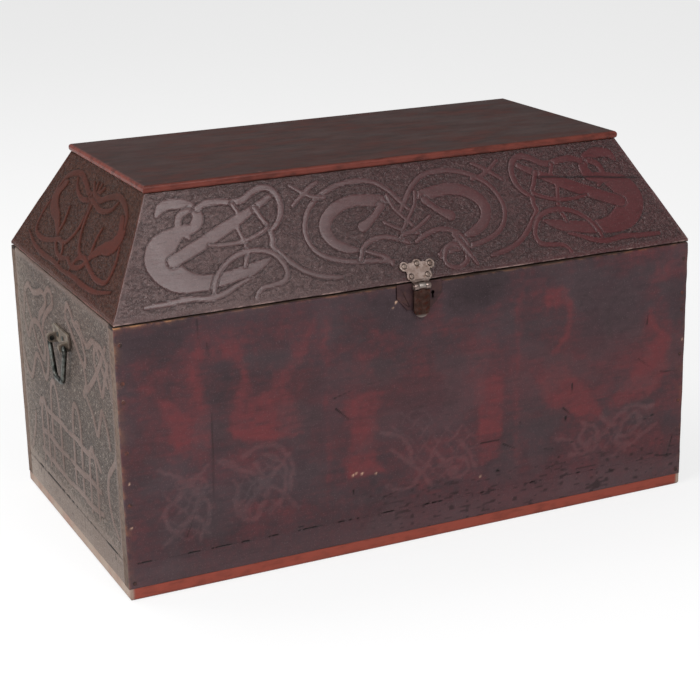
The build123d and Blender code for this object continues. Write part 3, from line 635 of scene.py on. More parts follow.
def stroke_map(strokes, reach):
    """The strongest of some strokes, each a path, its strength and its soft edge."""
    total = np.zeros(front_panel.shape)
    for path, strength, low, high in strokes:
        d, _ = front_panel.stamp(path, reach)
        total = np.maximum(total, strength * step(-d, low, high))
    return total


def net_map():
    """Nets of fine crossing lines, bent and broken."""
    u = np.arange(front_panel.shape[0])[:, None] - half_w
    v = np.arange(front_panel.shape[1])[None, :] + 0.0
    total = np.zeros(front_panel.shape)
    for (mid_u, mid_v), (reach_u, reach_v), spacing in NETS:
        inside = step(1 - ((u - mid_u) / reach_u) ** 2 - ((v - mid_v) / reach_v) ** 2, 0, 0.5)
        for slant in (1, -1):
            bend = 14 * noise(u, v, 60, 60, 17 + slant)
            phase = (0.72 * u + slant * 0.69 * v + bend) / spacing
            line = step(np.abs(phase - np.round(phase)) * spacing, 2.2, 0.6)
            kept = step(noise(u, v, 21, 21, 19 + slant), 0.2, 0.5)
            total = np.maximum(total, 0.8 * line * inside * kept)
    return total


stain_field = stain_map()
ghost_field = np.maximum(
    stroke_map([(curve_points(points), 1, -2, 1.5) for points in GHOSTS], 4), net_map())
dent_field = stroke_map(
    [(curve_points([(*start, 0.8 * half), (*end, 0.4 * half)], 0.7), depth, -0.4, 0.7 * half)
     for start, end, half, depth in DENTS], 3)
chip_field = stroke_map(
    [([(u, v, half), (u + half, v + 0.4 * half, 0.6 * half)], 1, -0.9, 0.4)
     for u, v, half in CHIPS], 3)

# The lock's plate, its pocket in the board and the notch for the staple of the hasp
lock_low, lock_high = in_mm(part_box("lock_plate"))
pocket_low, pocket_high = in_mm(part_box("lock_case"))
hasp_low, hasp_high = in_mm(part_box("hasp_staple"))
hasp_mid = (hasp_low[0] + hasp_high[0]) / 2
tip_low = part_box("hasp_tongue")[0][2] / MM
LOCK_FOOT = 38.0    # width of the plate's foot
LOCK_SIDE = 20.0    # length of its upright sides
NOTCH_HALF = 4.0    # half the notch's width
LEFT_BEHIND = 5.5   # wood behind the pocket


def in_shield(u, v, grow):
    """True inside the outline of the lock plate."""
    mid = (lock_low[0] + lock_high[0]) / 2
    half = (lock_high[0] - lock_low[0]) / 2
    down = np.clip((rim_z - LOCK_SIDE - v) / (rim_z - LOCK_SIDE - lock_low[2]), 0, 1)
    reach = half + (LOCK_FOOT / 2 - half) * down
    return (np.abs(u - mid) < reach + grow) & (v > lock_low[2] - grow)


def front_height(u, v):
    """The front: worn, dented, with its open joint and the places cut for the lock."""
    h = -0.15 - 0.25 * noise(u, v, 160, 70, 11) - 0.12 * noise(u, v, 40, 6, 12)
    h -= front_panel.sample(dent_field, u, v)
    h -= 0.12 * front_panel.sample(ghost_field, u, v)
    pocket = ((u > pocket_low[0]) & (u < pocket_high[0])
              & (v > pocket_low[2]) & (v < pocket_high[2]))
    notch = (np.abs(u - hasp_mid) < NOTCH_HALF) & (v > pocket_low[2])
    h = np.where(in_shield(u, v, 0.4), -(lock_high[1] - lock_low[1]) - 0.4, h)
    h = np.where((pocket & in_shield(u, v, -7)) | notch, -(wall - LEFT_BEHIND), h)
    return h - JOINT_DEPTH * np.exp(-np.abs(v - joint_z) / 1.6) * front_gaps(u)


def back_height(u, v):
    """The back: plane marks only."""
    planing = noise(u, v, 300, 34, 61) * 0.5 + noise(u, v, 90, 9, 62) * 0.25
    return -0.1 - planing


def crack(u, seed):
    """Where a glue joint of the ends has opened, from 0 to 1."""
    return step(noise(u, 0 * u, 24, 9, seed) + 0.5 * noise(u, 0 * u, 6, 9, seed + 1), 0.78, 0.98)


def front_gaps(u):
    """Where the glue joint of the front has opened, from 0 to 1."""
    out = 0 * u
    for low, high in JOINT_GAPS:
        out = np.maximum(out, step(u, low - 3, low + 1) * step(u, high + 3, high - 1))
    return out * step(noise(u, 0 * u, 6, 9, 42), 0.12, 0.35)


def front_dark(u, v):
    """Dents, the open joint, the painted crack and the checks below the joint."""
    joint = np.exp(-((v - joint_z) / 1.1) ** 2) * front_gaps(u)
    painted = np.exp(-((u - CRACK_U - 0.02 * (v - 190)) / 1.1) ** 2)
    joint += 0.5 * painted * step(v, 118, 150) * step(v, 262, 240)
    low = step(v, joint_z + 60, joint_z + 5) * step(noise(u, v, 9, 3.2, 43), 0.74, 0.86)
    low = low * step(u, -150, 0)
    dents = front_panel.sample(dent_field, u, v)
    return np.clip(dents * 0.85 + joint + low * 0.6, 0, 1)


def front_values(u, v):
    """What the material of the front needs at each point."""
    wear = 0.3 * np.exp(-(half_w - np.abs(u)) / 4) * noise(u, v, 30, 14, 46)
    wear += 0.8 * np.exp(-(rim_z - v) / 2.0) * step(u, -340, -400)
    wear += 0.3 * np.exp(-(rim_z - v) / 1.5)
    warp_u = u + 9 * (noise(u, v, 21, 17, 44) - 0.5) + 3 * (noise(u, v, 6, 6, 47) - 0.5)
    warp_v = v + 9 * (noise(u, v, 19, 15, 45) - 0.5) + 3 * (noise(u, v, 6, 6, 48) - 0.5)
    stain = front_panel.sample(stain_field, warp_u, warp_v)
    ghost = front_panel.sample(ghost_field, warp_u, warp_v)
    clouds = 0.6 * noise(u, v, 64, 44, 49) + 0.4 * noise(u, v, 24, 20, 50)
    mottle = 0.55 * noise(u, v, 9, 7, 53) + 0.45 * noise(u, v, 30, 3.5, 54)
    stain = 0.72 * stain + 0.22 * ghost + 0.65 * (clouds - 0.44) + 0.45 * (mottle - 0.5)
    stain = stain * (0.35 + 0.65 * step(v, 36, 90)) + 0.14 * step(u, 180, 420)
    pale = 0.5 * ghost * (0.4 + 0.6 * mottle)
    pale = pale + 0.3 * step(v, 70, 25) + 0.15 * step(clouds, 0.5, 0.3)
    return {"stain": np.clip(stain, -1, 1), "pale": np.clip(pale, 0, 1),
            "chips": front_panel.sample(chip_field, u, v), "dark": front_dark(u, v),
            "wear": wear}


def back_values(u, v):
    """What the material of the back needs at each point."""
    edge = np.exp(-(half_w - np.abs(u)) / 6) * noise(u, v, 30, 14, 66)
    return {"stain": 0.4 * noise(u, v, 130, 60, 67), "dark": 0 * u, "wear": edge,
            "pale": 0.3 * noise(u, v, 90, 40, 68)}


def long_boards():
    """The two boards of the front and the two of the back."""
    for word, side, look, cell, height, values, edges in (
            ("front", -1, "carved", 2.0, front_height, front_values,
             ((2.0, 2.0, 0.3, 2.2), (2.0, 2.0, 1.4, 0.3))),
            ("back", 1, "planed", 6.0, back_height, back_values,
             ((2.0, 2.0, 0.8, 2.2), (2.0, 2.0, 0.8, 0.8)))):
        for part, z_range, rounding in zip(PARTS, PART_HEIGHTS, edges):
            node = f"{word}_{part}_board"
            wall_board(f"{look}_{node}", node, (0, side, 0), (-half_w, half_w), z_range, cell,
                       height, values, rounding)


end_reach = half_d - wall
end_panel = Panel((-end_reach, 0), (end_reach, rim_z))
end_drawn = interlace(end_panel, END_LEFT + END_RIGHT)


def end_carving(u, v, side):
    """Height and masks of the ornament of an end, and where it fades to the board's edges.
    The right end mirrors the left one."""
    fields = [end_panel.sample(field, -side * u, v) for field in end_drawn]
    margin = step(np.abs(u), end_reach - 4, end_reach - 12) * step(v, joint_z + 6, joint_z + 16)
    margin = margin * step(v, rim_z - 4, rim_z - 12)
    return *carve(u, v, *fields, 1.0, 71), margin


def end_height(u, v, side):
    """An end: its ornament and its open joint."""
    h, _, _, _, margin = end_carving(u, v, side)
    mirrored_u = -side * u
    gap = np.exp(-np.abs(v - joint_z) / 1.6) * crack(mirrored_u, 76) * step(mirrored_u, 60, -60)
    return h * margin - 0.1 - 0.2 * noise(u, v, 90, 12, 75) - gap * JOINT_DEPTH


def end_values(u, v, side):
    """What the material of an end needs at each point."""
    _, band, pits, line, margin = end_carving(u, v, side)
    joint = np.exp(-((v - joint_z) / 2.0) ** 2) * (0.3 + 0.7 * crack(u, 76))
    checks = step(noise(u, v, 2.6, 11, 81), 0.8, 0.9) * step(v, 120, 60) * step(v, 18, 40)
    joint = np.maximum(joint, 0.7 * checks * step(noise(u, v, 60, 60, 82), 0.4, 0.6))
    pale = 0.75 * step(v, 120, 20) * (0.5 + 0.5 * noise(u, v, 60, 40, 79))
    pale += 0.4 * step(-side * u, -120, -240)
    return {"band": band * margin + 0.5 * (1 - margin), "pits": pits * margin,
            "line": line * margin, "stain": 0.3 * noise(u, v, 80, 60, 78), "dark": joint,
            "wear": 0 * u, "pale": pale}


def end_boards():
    """The two boards of each end."""
    edges = ((0.5, 0.5, 0.9, 2.2), (0.5, 0.5, 0.8, 0.9))
    for side, word in ((-1, "left"), (1, "right")):
        for part, z_range, rounding in zip(PARTS, PART_HEIGHTS, edges):
            node = f"{word}_{part}_board"
            wall_board(f"carved_{node}", node, (side, 0, 0), (-end_reach, end_reach), z_range,
                       1.9, lambda u, v: end_height(u, v, side),
                       lambda u, v: end_values(u, v, side), rounding)


# Lid slopes

SHIFT = 3.5         # from the lower edge of a slope to the foot of its ornament


def unit(vectors):
    """The same directions with length 1."""
    return vectors / np.linalg.norm(vectors, axis=-1, keepdims=True)


def slope_inner(side, along, own, other, own_run, other_run):
    """Inner corners of a mitred board."""
    inset = LID_BOARD * math.hypot(slope_rise, own_run) / slope_rise
    foot = inset - own_run * LAND / slope_rise
    corners = []
    for sign, z, back in ((-1, rim_z, foot), (1, rim_z, foot), (1, slope_top, own_run + inset),
                          (-1, slope_top, own_run + inset)):
        reach = sign * (other - back * other_run / own_run)
        corners.append(reach * along + (own - back) * side + z * UP)
    return corners


def hip_direction(uu, vv, facing, along, other_run):
    """Outward between the two boards that meet at a hip."""
    other_out = np.sign(uu)[..., None] * along
    other_normal = other_out * slope_rise + UP * other_run
    other_normal = other_normal / np.linalg.norm(other_normal[0, 0])
    return unit(facing + np.where(vv[..., None] > 0, other_normal, other_out))


def slope_height(h, uu, vv, margin, opening, seed):
    """Wear, the split and the rounded edges, added to the height of the ornament."""
    h = h * margin - 0.15 - 0.2 * noise(uu, vv, 120, 20, seed + 5) - 0.9 * step(vv, 12, -2)
    h = h - 1.8 * opening
    h = h - quarter(vv + LAND, 2.0 * (0.5 + noise(uu, vv * 0, 31, 9, 93)))
    return h - 0.7 * np.exp(-(vv / 2.2) ** 2)


def slope_wear(uu, vv, from_hip, seed):
    """Worn hips and a worn lower edge."""
    worn = 0.25 * np.exp(-from_hip / 3) * noise(uu, vv, 14, 22, seed + 8)
    lip = 0.8 * np.exp(-((vv + LAND) / 2.5) ** 2)
    return worn + lip * step(noise(uu, vv * 0, 50, 9, seed + 9), 0.2, 0.6)


def slope_board(name, node, side, runs, cell, fields, depth, seed, tones, split=None):
    """One mitred board of the lid, with its upright strip below the slope. runs is how far
    this slope and its neighbours lean in."""
    own_run, other_run = runs
    side = np.array(side, float)
    along = np.cross(UP, side)
    own, other = (half_d, half_w) if side[0] == 0 else (half_w, half_d)
    length = math.hypot(slope_rise, own_run)
    normal = (side * slope_rise + UP * own_run) / length
    strip = -LAND + np.array([0, 0.3, 0.8, 1.6, 2.8, 4.1])
    ss, vv = np.meshgrid(spaced(-1, 1, cell / other, 3.0 / other),
                         np.concatenate([strip, spaced(0, length, cell, 2.5)]), indexing="ij")
    t = np.clip(vv, 0, None) / length
    reach = other - other_run * t
    uu = ss * reach
    turn = step(vv, -2.5, 2.5)[..., None]
    facing = unit(side * (1 - turn) + normal * turn)
    foot_z = rim_z + LAND + np.minimum(vv, 0) * (1 - 0.5 * lid_gap(uu, side) / LAND)
    base = places((uu, along), (own - own_run * t, side), (foot_z + slope_rise * t, UP))
    h, band, pits, line = carve(uu, vv, *fields(uu, vv - SHIFT), depth, seed)
    from_hip = reach - np.abs(uu)
    margin = step(from_hip, 1.5, 7) * step(vv, 1, 9)
    opening = split(uu, vv) if split else 0 * uu
    h = slope_height(h, uu, vv, margin, opening, seed)
    hip_worn = 0.5 + 0.9 * noise(vv, 0 * vv, 19, 9, 95)
    drop = 1.5 * hip_worn * (1 - np.clip(from_hip / 3.0, 0, 1)) ** 2
    hip = hip_direction(uu, vv, facing, along, other_run)
    rise = np.minimum(h * step(from_hip, -0.5, 3.0), -0.01)
    face = base + facing * rise[..., None] - hip * drop[..., None]
    values = {"band": band * margin + 0.4 * (1 - margin), "pits": pits * margin,
              "line": line * margin, "dark": opening,
              "wear": slope_wear(uu, vv, from_hip, seed), "cavity": cavity(h), **tones(uu, vv)}
    piece = board(name, face, slope_inner(side, along, own, other, *runs), values)
    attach(piece, "lid")
    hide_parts(node)


def plain_tones(u, v):
    """Stain and wear of the end slopes and the back slope."""
    cloud = noise(u, v, 70, 50, 99)
    return {"pale": 0.25 * cloud, "stain": 0.6 * (1 - cloud)}


def front_tones(u, v):
    """Greyer and paler to the left, a painted sheen; redder and darker to the right, partly real
    red stain and partly painted shade.
    """
    cloud = noise(u, v, 90, 50, 98)
    return {"pale": step(u, 60, -420) * (0.55 + 0.45 * cloud),
            "stain": step(u, -120, 330) * (0.5 + 0.5 * cloud)}


def front_split(u, v):
    """A long check in the right end of the front slope."""
    line = 124 - (u - 220) * 0.115 + 1.2 * noise(u, 0 * u, 25, 9, 97)
    return np.exp(-((v - line) / 1.0) ** 2) * step(u, 215, 232) * step(u, 396, 380)


def slope_ornament(half, run, bands):
    """Draws the ornament of a slope. Gives a function that samples it."""
    panel = Panel((-half, -LAND), (half, math.hypot(slope_rise, run)))
    drawn = interlace(panel, bands)
    return lambda u, v: [panel.sample(field, u, v) for field in drawn]


def no_ornament(u, v):
    """A place on one broad band, so that nothing is carved."""
    return 0 * u - 8, 0 * u, 0 * v


def lid_boards():
    """The four slopes of the lid."""
    front = slope_ornament(half_w, FRONT_RUN, FRONT_BEAST + mirrored(FRONT_BEAST) + FRONT_MIDDLE
                           + mirrored(FRONT_MIDDLE) + FRONT_RIGHT_ONLY)
    end = slope_ornament(half_d, END_RUN, END_SLOPE + mirrored(END_SLOPE))
    long_runs, end_runs = (FRONT_RUN, END_RUN), (END_RUN, FRONT_RUN)
    slope_board("carved_lid_front", "lid_front_board", (0, -1, 0), long_runs, 1.5, front, 1.05,
                21, front_tones, front_split)
    for side, word in ((-1, "left"), (1, "right")):
        slope_board(f"carved_lid_{word}", f"lid_{word}_board", (side, 0, 0), end_runs, 1.5, end,
                    1.3, 31, plain_tones)
    slope_board("planed_lid_back", "lid_back_board", (0, 1, 0), long_runs, 3.0, no_ornament,
                1.0, 51, plain_tones)


# Materials

class Shader:
    """A small helper that adds nodes and links them. base is the colour laid on so far."""

    def __init__(self, name, base=None):
        self.material = bpy.data.materials.new(name)
        self.material.use_nodes = True
        self.tree = self.material.node_tree
        self.surface = self.tree.nodes["Principled BSDF"]
        self.place = self.add("ShaderNodeTexCoord").outputs["Object"]
        self.base = base

    def add(self, kind, numbers=None, **settings):
        """A new node, with its settings and the plain numbers of its inputs."""
        node = self.tree.nodes.new(kind)
        for key, value in settings.items():
            setattr(node, key, value)
        for key, value in (numbers or {}).items():
            node.inputs[key].default_value = value
        return node

    def feed(self, target, value):
        """Gives an input a number, a colour or a link."""
        if isinstance(value, (int, float)):
            target.default_value = value
        elif isinstance(value, tuple):
            target.default_value = (*value, 1.0)
        else:
            self.tree.links.new(value, target)

    def noise(self, scale, stretch=(1, 1, 1), detail=4.0, rough=0.55, distort=0.0):
        """Noise from about 0 to 1 in the frame's own space."""
        mapping = self.add("ShaderNodeMapping", {"Scale": stretch})
        self.feed(mapping.inputs["Vector"], self.place)
        node = self.add("ShaderNodeTexNoise", {"Scale": scale, "Detail": detail,
                                               "Roughness": rough, "Distortion": distort})
        self.feed(node.inputs["Vector"], mapping.outputs["Vector"])
        return node.outputs["Fac"]

    def ramp(self, source, low, high, kind="SMOOTHSTEP", top=1.0):
        """0 below low and top above high."""
        node = self.add("ShaderNodeMapRange", {"From Min": low, "From Max": high, "To Max": top},
                        interpolation_type=kind)
        self.feed(node.inputs["Value"], source)
        return node.outputs["Result"]

    def spread(self, source, low, high):
        """low where the source is 0, high where it is 1."""
        node = self.add("ShaderNodeMapRange", {"To Min": low, "To Max": high})
        self.feed(node.inputs["Value"], source)
        return node.outputs["Result"]

    def math(self, operation, a, b):
        """A sum, a product and the like."""
        node = self.add("ShaderNodeMath", operation=operation)
        self.feed(node.inputs[0], a)
        self.feed(node.inputs[1], b)
        return node.outputs[0]

    def times(self, a, b):
        """a times b."""
        return self.math("MULTIPLY", a, b)

    def attribute(self, name):
        """A number that the mesh carries at each point."""
        return self.add("ShaderNodeAttribute", attribute_name=name).outputs["Fac"]

    def axis(self, k):
        """The place along one axis, in metres."""
        axes = self.add("ShaderNodeSeparateXYZ")
        self.feed(axes.inputs[0], self.place)
        return axes.outputs[k]

    def mix(self, factor, first, second):
        """A colour between two colours."""
        node = self.add("ShaderNodeMix", data_type="RGBA")
        for key, value in (("Factor", factor), ("A", first), ("B", second)):
            self.feed(node.inputs[key], value)
        return node.outputs["Result"]

    def tint(self, factor, colour, share=None):
        """Lays a colour over the colour so far, where factor says and no more than share."""
        if share is not None:
            factor = self.times(factor, share)
        self.base = self.mix(factor, self.base, colour)
        self.feed(self.surface.inputs["Base Color"], self.base)

    def shine(self, level):
        """Sets how strongly the surface reflects."""
        self.surface.inputs["Specular IOR Level"].default_value = level

    def rough(self, source):
        """Sets the roughness from a node."""
        self.feed(self.surface.inputs["Roughness"], source)

    def bumps(self, *layers):
        """Lays bumps over each other, each a source, its strength and its height in metres."""
        normal = None
        for source, strength, distance in layers:
            node = self.add("ShaderNodeBump", {"Strength": strength, "Distance": distance})
            self.feed(node.inputs["Height"], source)
            if normal is not None:
                self.feed(node.inputs["Normal"], normal)
            normal = node.outputs["Normal"]
        self.feed(self.surface.inputs["Normal"], normal)


def srgb(r, g, b):
    """A colour written as 0 to 255 display values."""
    return tuple(((c / 255 + 0.055) / 1.055) ** 2.4 if c > 10 else c / 255 / 12.92
                 for c in (r, g, b))


def scaled(colour, factor):
    """A lighter or darker colour."""
    return tuple(c * factor for c in colour)


EVEN = (1, 1, 1)
GRAIN_X = (0.16, 1.0, 1.0)
GRAIN_Y = (1.0, 0.16, 1.0)
CRACK_COLOUR = srgb(12, 8, 9)
CHIP_COLOUR = srgb(196, 160, 136)
# Colour of the painted shade round screw heads
SCREW_SHADE_COLOUR = srgb(26, 16, 14)


def stained_wood(name, grain, ground, ribbon, red, pale, gloss, shine, carved=True,
                 worn=(128, 72, 60)):
    """Old stained wood: grain, punched ground, smooth bands, red areas, dark cracks, worn
    edges, with painted shade in hollows, pits and cut lines, and painted glints."""
    s = Shader(name)
    ground, ribbon, red, pale, worn = [srgb(*c) for c in (ground, ribbon, red, pale, worn)]
    dark = scaled(ground, 0.4)
    broad = s.noise(7.0, grain, 5.0)
    fine = s.noise(170.0, grain, 6.0, 0.65)
    speck = s.noise(520.0, EVEN, 2.0, 0.6)
    cloud = s.noise(9.0)
    cloudy = s.ramp(cloud, 0.3, 0.7)
    s.base = s.mix(cloudy, scaled(ground, 0.82), scaled(ground, 1.2))
    if carved:
        band = s.attribute("band")
        s.tint(band, s.mix(cloudy, ribbon, scaled(ribbon, 0.82)))
    s.tint(s.ramp(broad, 0.42, 0.7), red, 0.25)
    uneven = s.spread(s.ramp(s.noise(120.0), 0.3, 0.7), -0.1, 0.1)
    stain = s.math("ADD", s.attribute("stain"), uneven)
    s.tint(s.ramp(stain, -0.25, 1.0), red, s.spread(band, 0.3, 1.0) if carved else None)
    s.tint(s.ramp(stain, -0.1, -0.8), dark, 0.65)
    # The pale attribute: on the lid's front slope a painted sheen, elsewhere a paler tone of the
    # wood
    s.tint(s.attribute("pale"), pale, s.spread(band, 0.66, 0.42) if carved else 0.6)
    s.tint(s.ramp(fine, 0.5, 0.33), dark, 0.2)
    # Painted glints: small pale specks all over the surface
    s.tint(s.ramp(speck, 0.55, 0.8), scaled(pale, 1.5), 0.35)
    if carved:
        # fine tooling between the bands, too small for the mesh; its pale specks are painted glints
        tooling_and_glints = s.noise(380.0, (0.7, 0.7, 1.0), 3.0, 0.6, 0.8)
        ground_only = s.math("SUBTRACT", 1.0, band)
        s.tint(s.times(s.ramp(tooling_and_glints, 0.53, 0.68), ground_only), scaled(pale, 1.25), 0.4)
    s.tint(s.ramp(s.noise(300.0, EVEN, 4.0, 0.7), 0.52, 0.66), dark, 0.4 if carved else 0.12)
    if carved:
        # Painted shade in the punched pits and in the cut lines along the bands
        s.tint(s.attribute("pits"), dark, 0.42)
        s.tint(s.attribute("line"), dark, 0.5)
    # Painted shade: darker in the hollows of the surface
    s.tint(s.ramp(s.attribute("cavity"), 0.05, 0.8), dark, 0.5)
    s.tint(s.attribute("wear"), worn, s.ramp(s.noise(60.0), 0.4, 0.62))
    s.tint(s.attribute("dark"), CRACK_COLOUR)
    s.tint(s.attribute("chips"), CHIP_COLOUR)
    s.shine(shine)
    s.rough(s.math("ADD", s.spread(cloudy, gloss, gloss + 0.12), s.times(fine, 0.08)))
    surface = (fine, 0.2, 0.0006)
    if carved:
        surface = (s.math("ADD", s.times(fine, 0.2), s.times(tooling_and_glints, ground_only)), 0.9, 0.0026)
    s.bumps(surface, (speck, 0.12, 0.0003))
    return s


def edge_mask(s, reach_x, reach_y, width, above=None):
    """1 within a width of the sides of a board that lies flat, and above a height."""
    near = [s.ramp(s.math("ABSOLUTE", s.axis(k), 0), (reach - width) * MM, reach * MM)
            for k, reach in ((0, reach_x), (1, reach_y))]
    mask = s.math("MAXIMUM", *near)
    if above is not None:
        mask = s.times(mask, s.ramp(s.axis(2), (above - 2) * MM, above * MM))
    return mask


def plain_wood(name, grain, low, high, accent, gloss, worn, reach, width, edge_polish=0.0,
               ends=None, rim_least=0.4, rim_above=None):
    """Wood without carving, for boards that keep their CAD shape and for raw faces."""
    s = Shader(name)
    low, high, accent, worn = [srgb(*c) for c in (low, high, accent, worn)]
    broad = s.noise(6.0, grain, 5.0)
    fine = s.noise(150.0, grain, 6.0, 0.65)
    cloud = s.noise(26.0, (0.5, 1, 1), 5.0, 0.65)
    s.base = s.mix(s.ramp(broad, 0.3, 0.7), low, high)
    s.tint(s.ramp(cloud, 0.45, 0.75), accent, 0.6)
    s.tint(s.ramp(fine, 0.56, 0.36), scaled(low, 0.4), 0.6)
    flecks = s.ramp(s.noise(240.0, EVEN, 2.0, 0.5), 0.7, 0.78)
    s.tint(flecks, scaled(high, 2), 0.35)
    rim = edge_mask(s, *reach, width, rim_above)
    if ends:
        far = edge_mask(s, reach[0] - 3, 10 * reach[1], 6)
        s.tint(far, srgb(*ends), s.spread(s.ramp(s.noise(30.0), 0.35, 0.65), 0.7, 1.0))
        rim = s.math("SUBTRACT", rim, far)
    patchy = s.ramp(s.noise(110.0, (0.4, 1, 1)), 0.3, 0.6)
    # The rim colour: real wear on the top and the base board, painted shade on the raw faces
    s.tint(rim, worn, s.spread(patchy, rim_least, 1.0))
    s.shine(0.14)
    rough = s.spread(s.ramp(cloud, 0.3, 0.7), gloss, gloss + 0.15)
    rough = s.math("SUBTRACT", rough, s.times(rim, edge_polish))
    s.rough(s.math("ADD", rough, s.times(fine, 0.1)))
    s.bumps((fine, 0.2, 0.0006), (broad, 0.15, 0.001))
    return s


def metal(name, bright, dark, rust, rough_low, rough_high, rust_share=0.5, metallic=1.0):
    """Worn iron or steel: bright where handled, darker and rusty in patches."""
    s = Shader(name)
    s.surface.inputs["Metallic"].default_value = metallic
    s.shine(0.5 if metallic else 0.15)
    patches = s.noise(90.0, EVEN, 5.0, 0.6)
    speck = s.noise(700.0, EVEN, 3.0, 0.6)
    s.base = s.mix(s.ramp(patches, 0.35, 0.62), srgb(*bright), srgb(*dark))
    s.tint(s.ramp(s.noise(160.0, EVEN, 4.0, 0.6), 0.52, 0.66), srgb(*rust), rust_share)
    s.rough(s.math("ADD", s.spread(s.ramp(patches, 0.3, 0.7), rough_low, rough_high),
                   s.times(speck, 0.12)))
    s.bumps((patches, 0.25, 0.0005), (speck, 0.25, 0.0002))
    return s


def bright_ends(s, above, below, colour):
    """Brighter colour above one height and below another: polished metal, and on the hasp's barrel
    also a painted highlight.
    """
    ends = [s.ramp(s.axis(2), low * MM, high * MM, "LINEAR")
            for low, high in ((above - 1.5, above + 1.5), (below + 4, below - 3))]
    s.tint(s.math("MAXIMUM", *ends), srgb(*colour))


def screw_centres(node):
    """Middles, as (x, z), of the heads of the screws that share a node on the front slope."""
    piece = frame["nodes"][node]
    points = np.array([piece.matrix_world @ v.co for v in piece.data.vertices]) / MM
    length = math.hypot(slope_rise, FRONT_RUN)
    out = (points[:, 2] * FRONT_RUN - points[:, 1] * slope_rise) / length
    heads = points[out > out.max() - 1.2][:, [0, 2]]
    groups = []
    for point in heads:
        near = [g for g in groups if np.hypot(*(g[0] - point)) < 9]
        if near:
            near[0].append(point)
        else:
            groups.append([point])
    return [(np.min(g, 0) + np.max(g, 0)) / 2 for g in groups]


def screw_shade_rings(s, centres, inner, outer):
    """Painted shade round each screw of a plate that faces the front."""
    flat = s.add("ShaderNodeVectorMath", {1: (1, 0, 1)}, operation="MULTIPLY")
    s.feed(flat.inputs[0], s.place)
    nearest = None
    for x, z in centres:
        gap = s.add("ShaderNodeVectorMath", {1: (x * MM, 0, z * MM)}, operation="DISTANCE")
        s.feed(gap.inputs[0], flat.outputs[0])
        distance = gap.outputs["Value"]
        nearest = distance if nearest is None else s.math("MINIMUM", nearest, distance)
    s.tint(s.ramp(nearest, outer * MM, inner * MM, "LINEAR", 0.85), SCREW_SHADE_COLOUR)


def set_material(piece, s):
    """Gives a piece one material."""
    piece.data.materials.clear()
    piece.data.materials.append(s.material)


def set_board_materials(piece, s):
    """Stained wood on the outer face, raw wood on the edges and the inside."""
    set_material(piece, s)
    crosswise = "left" in piece.name or "right" in piece.name
    piece.data.materials.append(looks["raw_side_wood" if crosswise else "raw_wood"].material)
    outer = np.ones(len(piece.data.polygons), bool)
    piece.data.attributes["carved_face"].data.foreach_get("value", outer)
    piece.data.polygons.foreach_set("material_index", (~outer).astype(np.int32))
    piece.data.update()


def ease_edges(piece, width):
    """Softens a CAD piece's edges so that they catch the light."""
    weld = piece.modifiers.new("weld", "WELD")
    weld.merge_threshold = 0.00001
    bevel = piece.modifiers.new("ease", "BEVEL")
    bevel.width = width * MM
    bevel.segments = 2
    bevel.limit_method = "ANGLE"
    bevel.angle_limit = math.radians(35)
    bevel.harden_normals = False


# Grain, ground, band, red stain, pale tone (on the lid's front slope a painted sheen), gloss,
# shine, and where it differs carved and the colour of worn edges
STAINED_WOODS = {
    "front_wood": (GRAIN_X, (56, 42, 46), (70, 46, 48), (98, 44, 47), (92, 78, 80), 0.36, 0.2,
                   False, (170, 122, 82)),
    "end_wood": (GRAIN_Y, (72, 62, 56), (100, 84, 77), (90, 64, 57), (158, 146, 135), 0.5, 0.28),
    # On the lid's front slope the pale colour lays a painted sheen
    "lid_wood": (GRAIN_X, (56, 35, 35), (66, 39, 40), (72, 26, 29), (108, 89, 87), 0.24, 0.4,
                 True, (176, 146, 138)),
    "lid_end_wood": (GRAIN_Y, (44, 22, 15), (50, 21, 15), (72, 27, 18), (84, 48, 26), 0.28, 0.18),
    "back_wood": (GRAIN_X, (60, 44, 44), (60, 42, 40), (84, 44, 42), (96, 80, 74), 0.5, 0.25,
                  False)}
# Grain, low and high colour, accent, gloss, worn rim (on the raw faces a painted shade), the
# board's reach and the rim's width, and where they differ the rim's polish, the ends, the rim's
# least share and its least height
# Raw faces: the dark rim is a painted shade in the gap between lid and case, near the outer faces
# from just below the case's rim upward
RAW = ((92, 77, 68), (110, 92, 82), (84, 66, 56), 0.55, (34, 24, 22), (half_w, half_d), 5, 0.0,
       None, 0.75, rim_z - 4)
PLAIN_WOODS = {
    "top_wood": (GRAIN_X, (40, 22, 20), (58, 33, 29), (76, 33, 26), 0.36, (104, 52, 44),
                 (top_high[0], top_high[1]), 5, 0.16),
    "base_wood": (GRAIN_X, (120, 58, 48), (150, 80, 62), (88, 58, 52), 0.5, (136, 66, 54),
                  (base_high[0], base_high[1]), 2, 0.0, (150, 134, 122)),
    "raw_wood": (GRAIN_X, *RAW), "raw_side_wood": (GRAIN_Y, *RAW)}
# Bright and dark metal, rust, least and greatest roughness, and where they differ the share
# of rust and how metallic
METALS = {
    "screw_steel": ((124, 110, 102), (84, 68, 62), (70, 48, 38), 0.22, 0.32),
    "hasp_steel": ((142, 126, 119), (112, 96, 89), (84, 60, 48), 0.24, 0.38, 0.6),
    "tongue_steel": ((78, 58, 52), (58, 41, 36), (72, 36, 27), 0.36, 0.5, 0.8),
    "handle_iron": ((96, 98, 94), (38, 40, 38), (64, 48, 40), 0.28, 0.5, 0.4),
    "strap_iron": ((118, 106, 92), (84, 74, 66), (72, 52, 42), 0.45, 0.65, 0.6, 0.4),
    "hinge_iron": ((70, 68, 66), (34, 33, 33), (70, 46, 36), 0.4, 0.6),
    "plate_iron": ((66, 45, 45), (52, 36, 38), (78, 52, 40), 0.45, 0.6, 0.4, 0.0),
    "lock_steel": ((110, 108, 104), (70, 66, 62), (80, 54, 40), 0.4, 0.55),
    "nail_iron": ((88, 46, 38), (40, 28, 26), (110, 56, 40), 0.5, 0.7, 0.6, 0.3)}

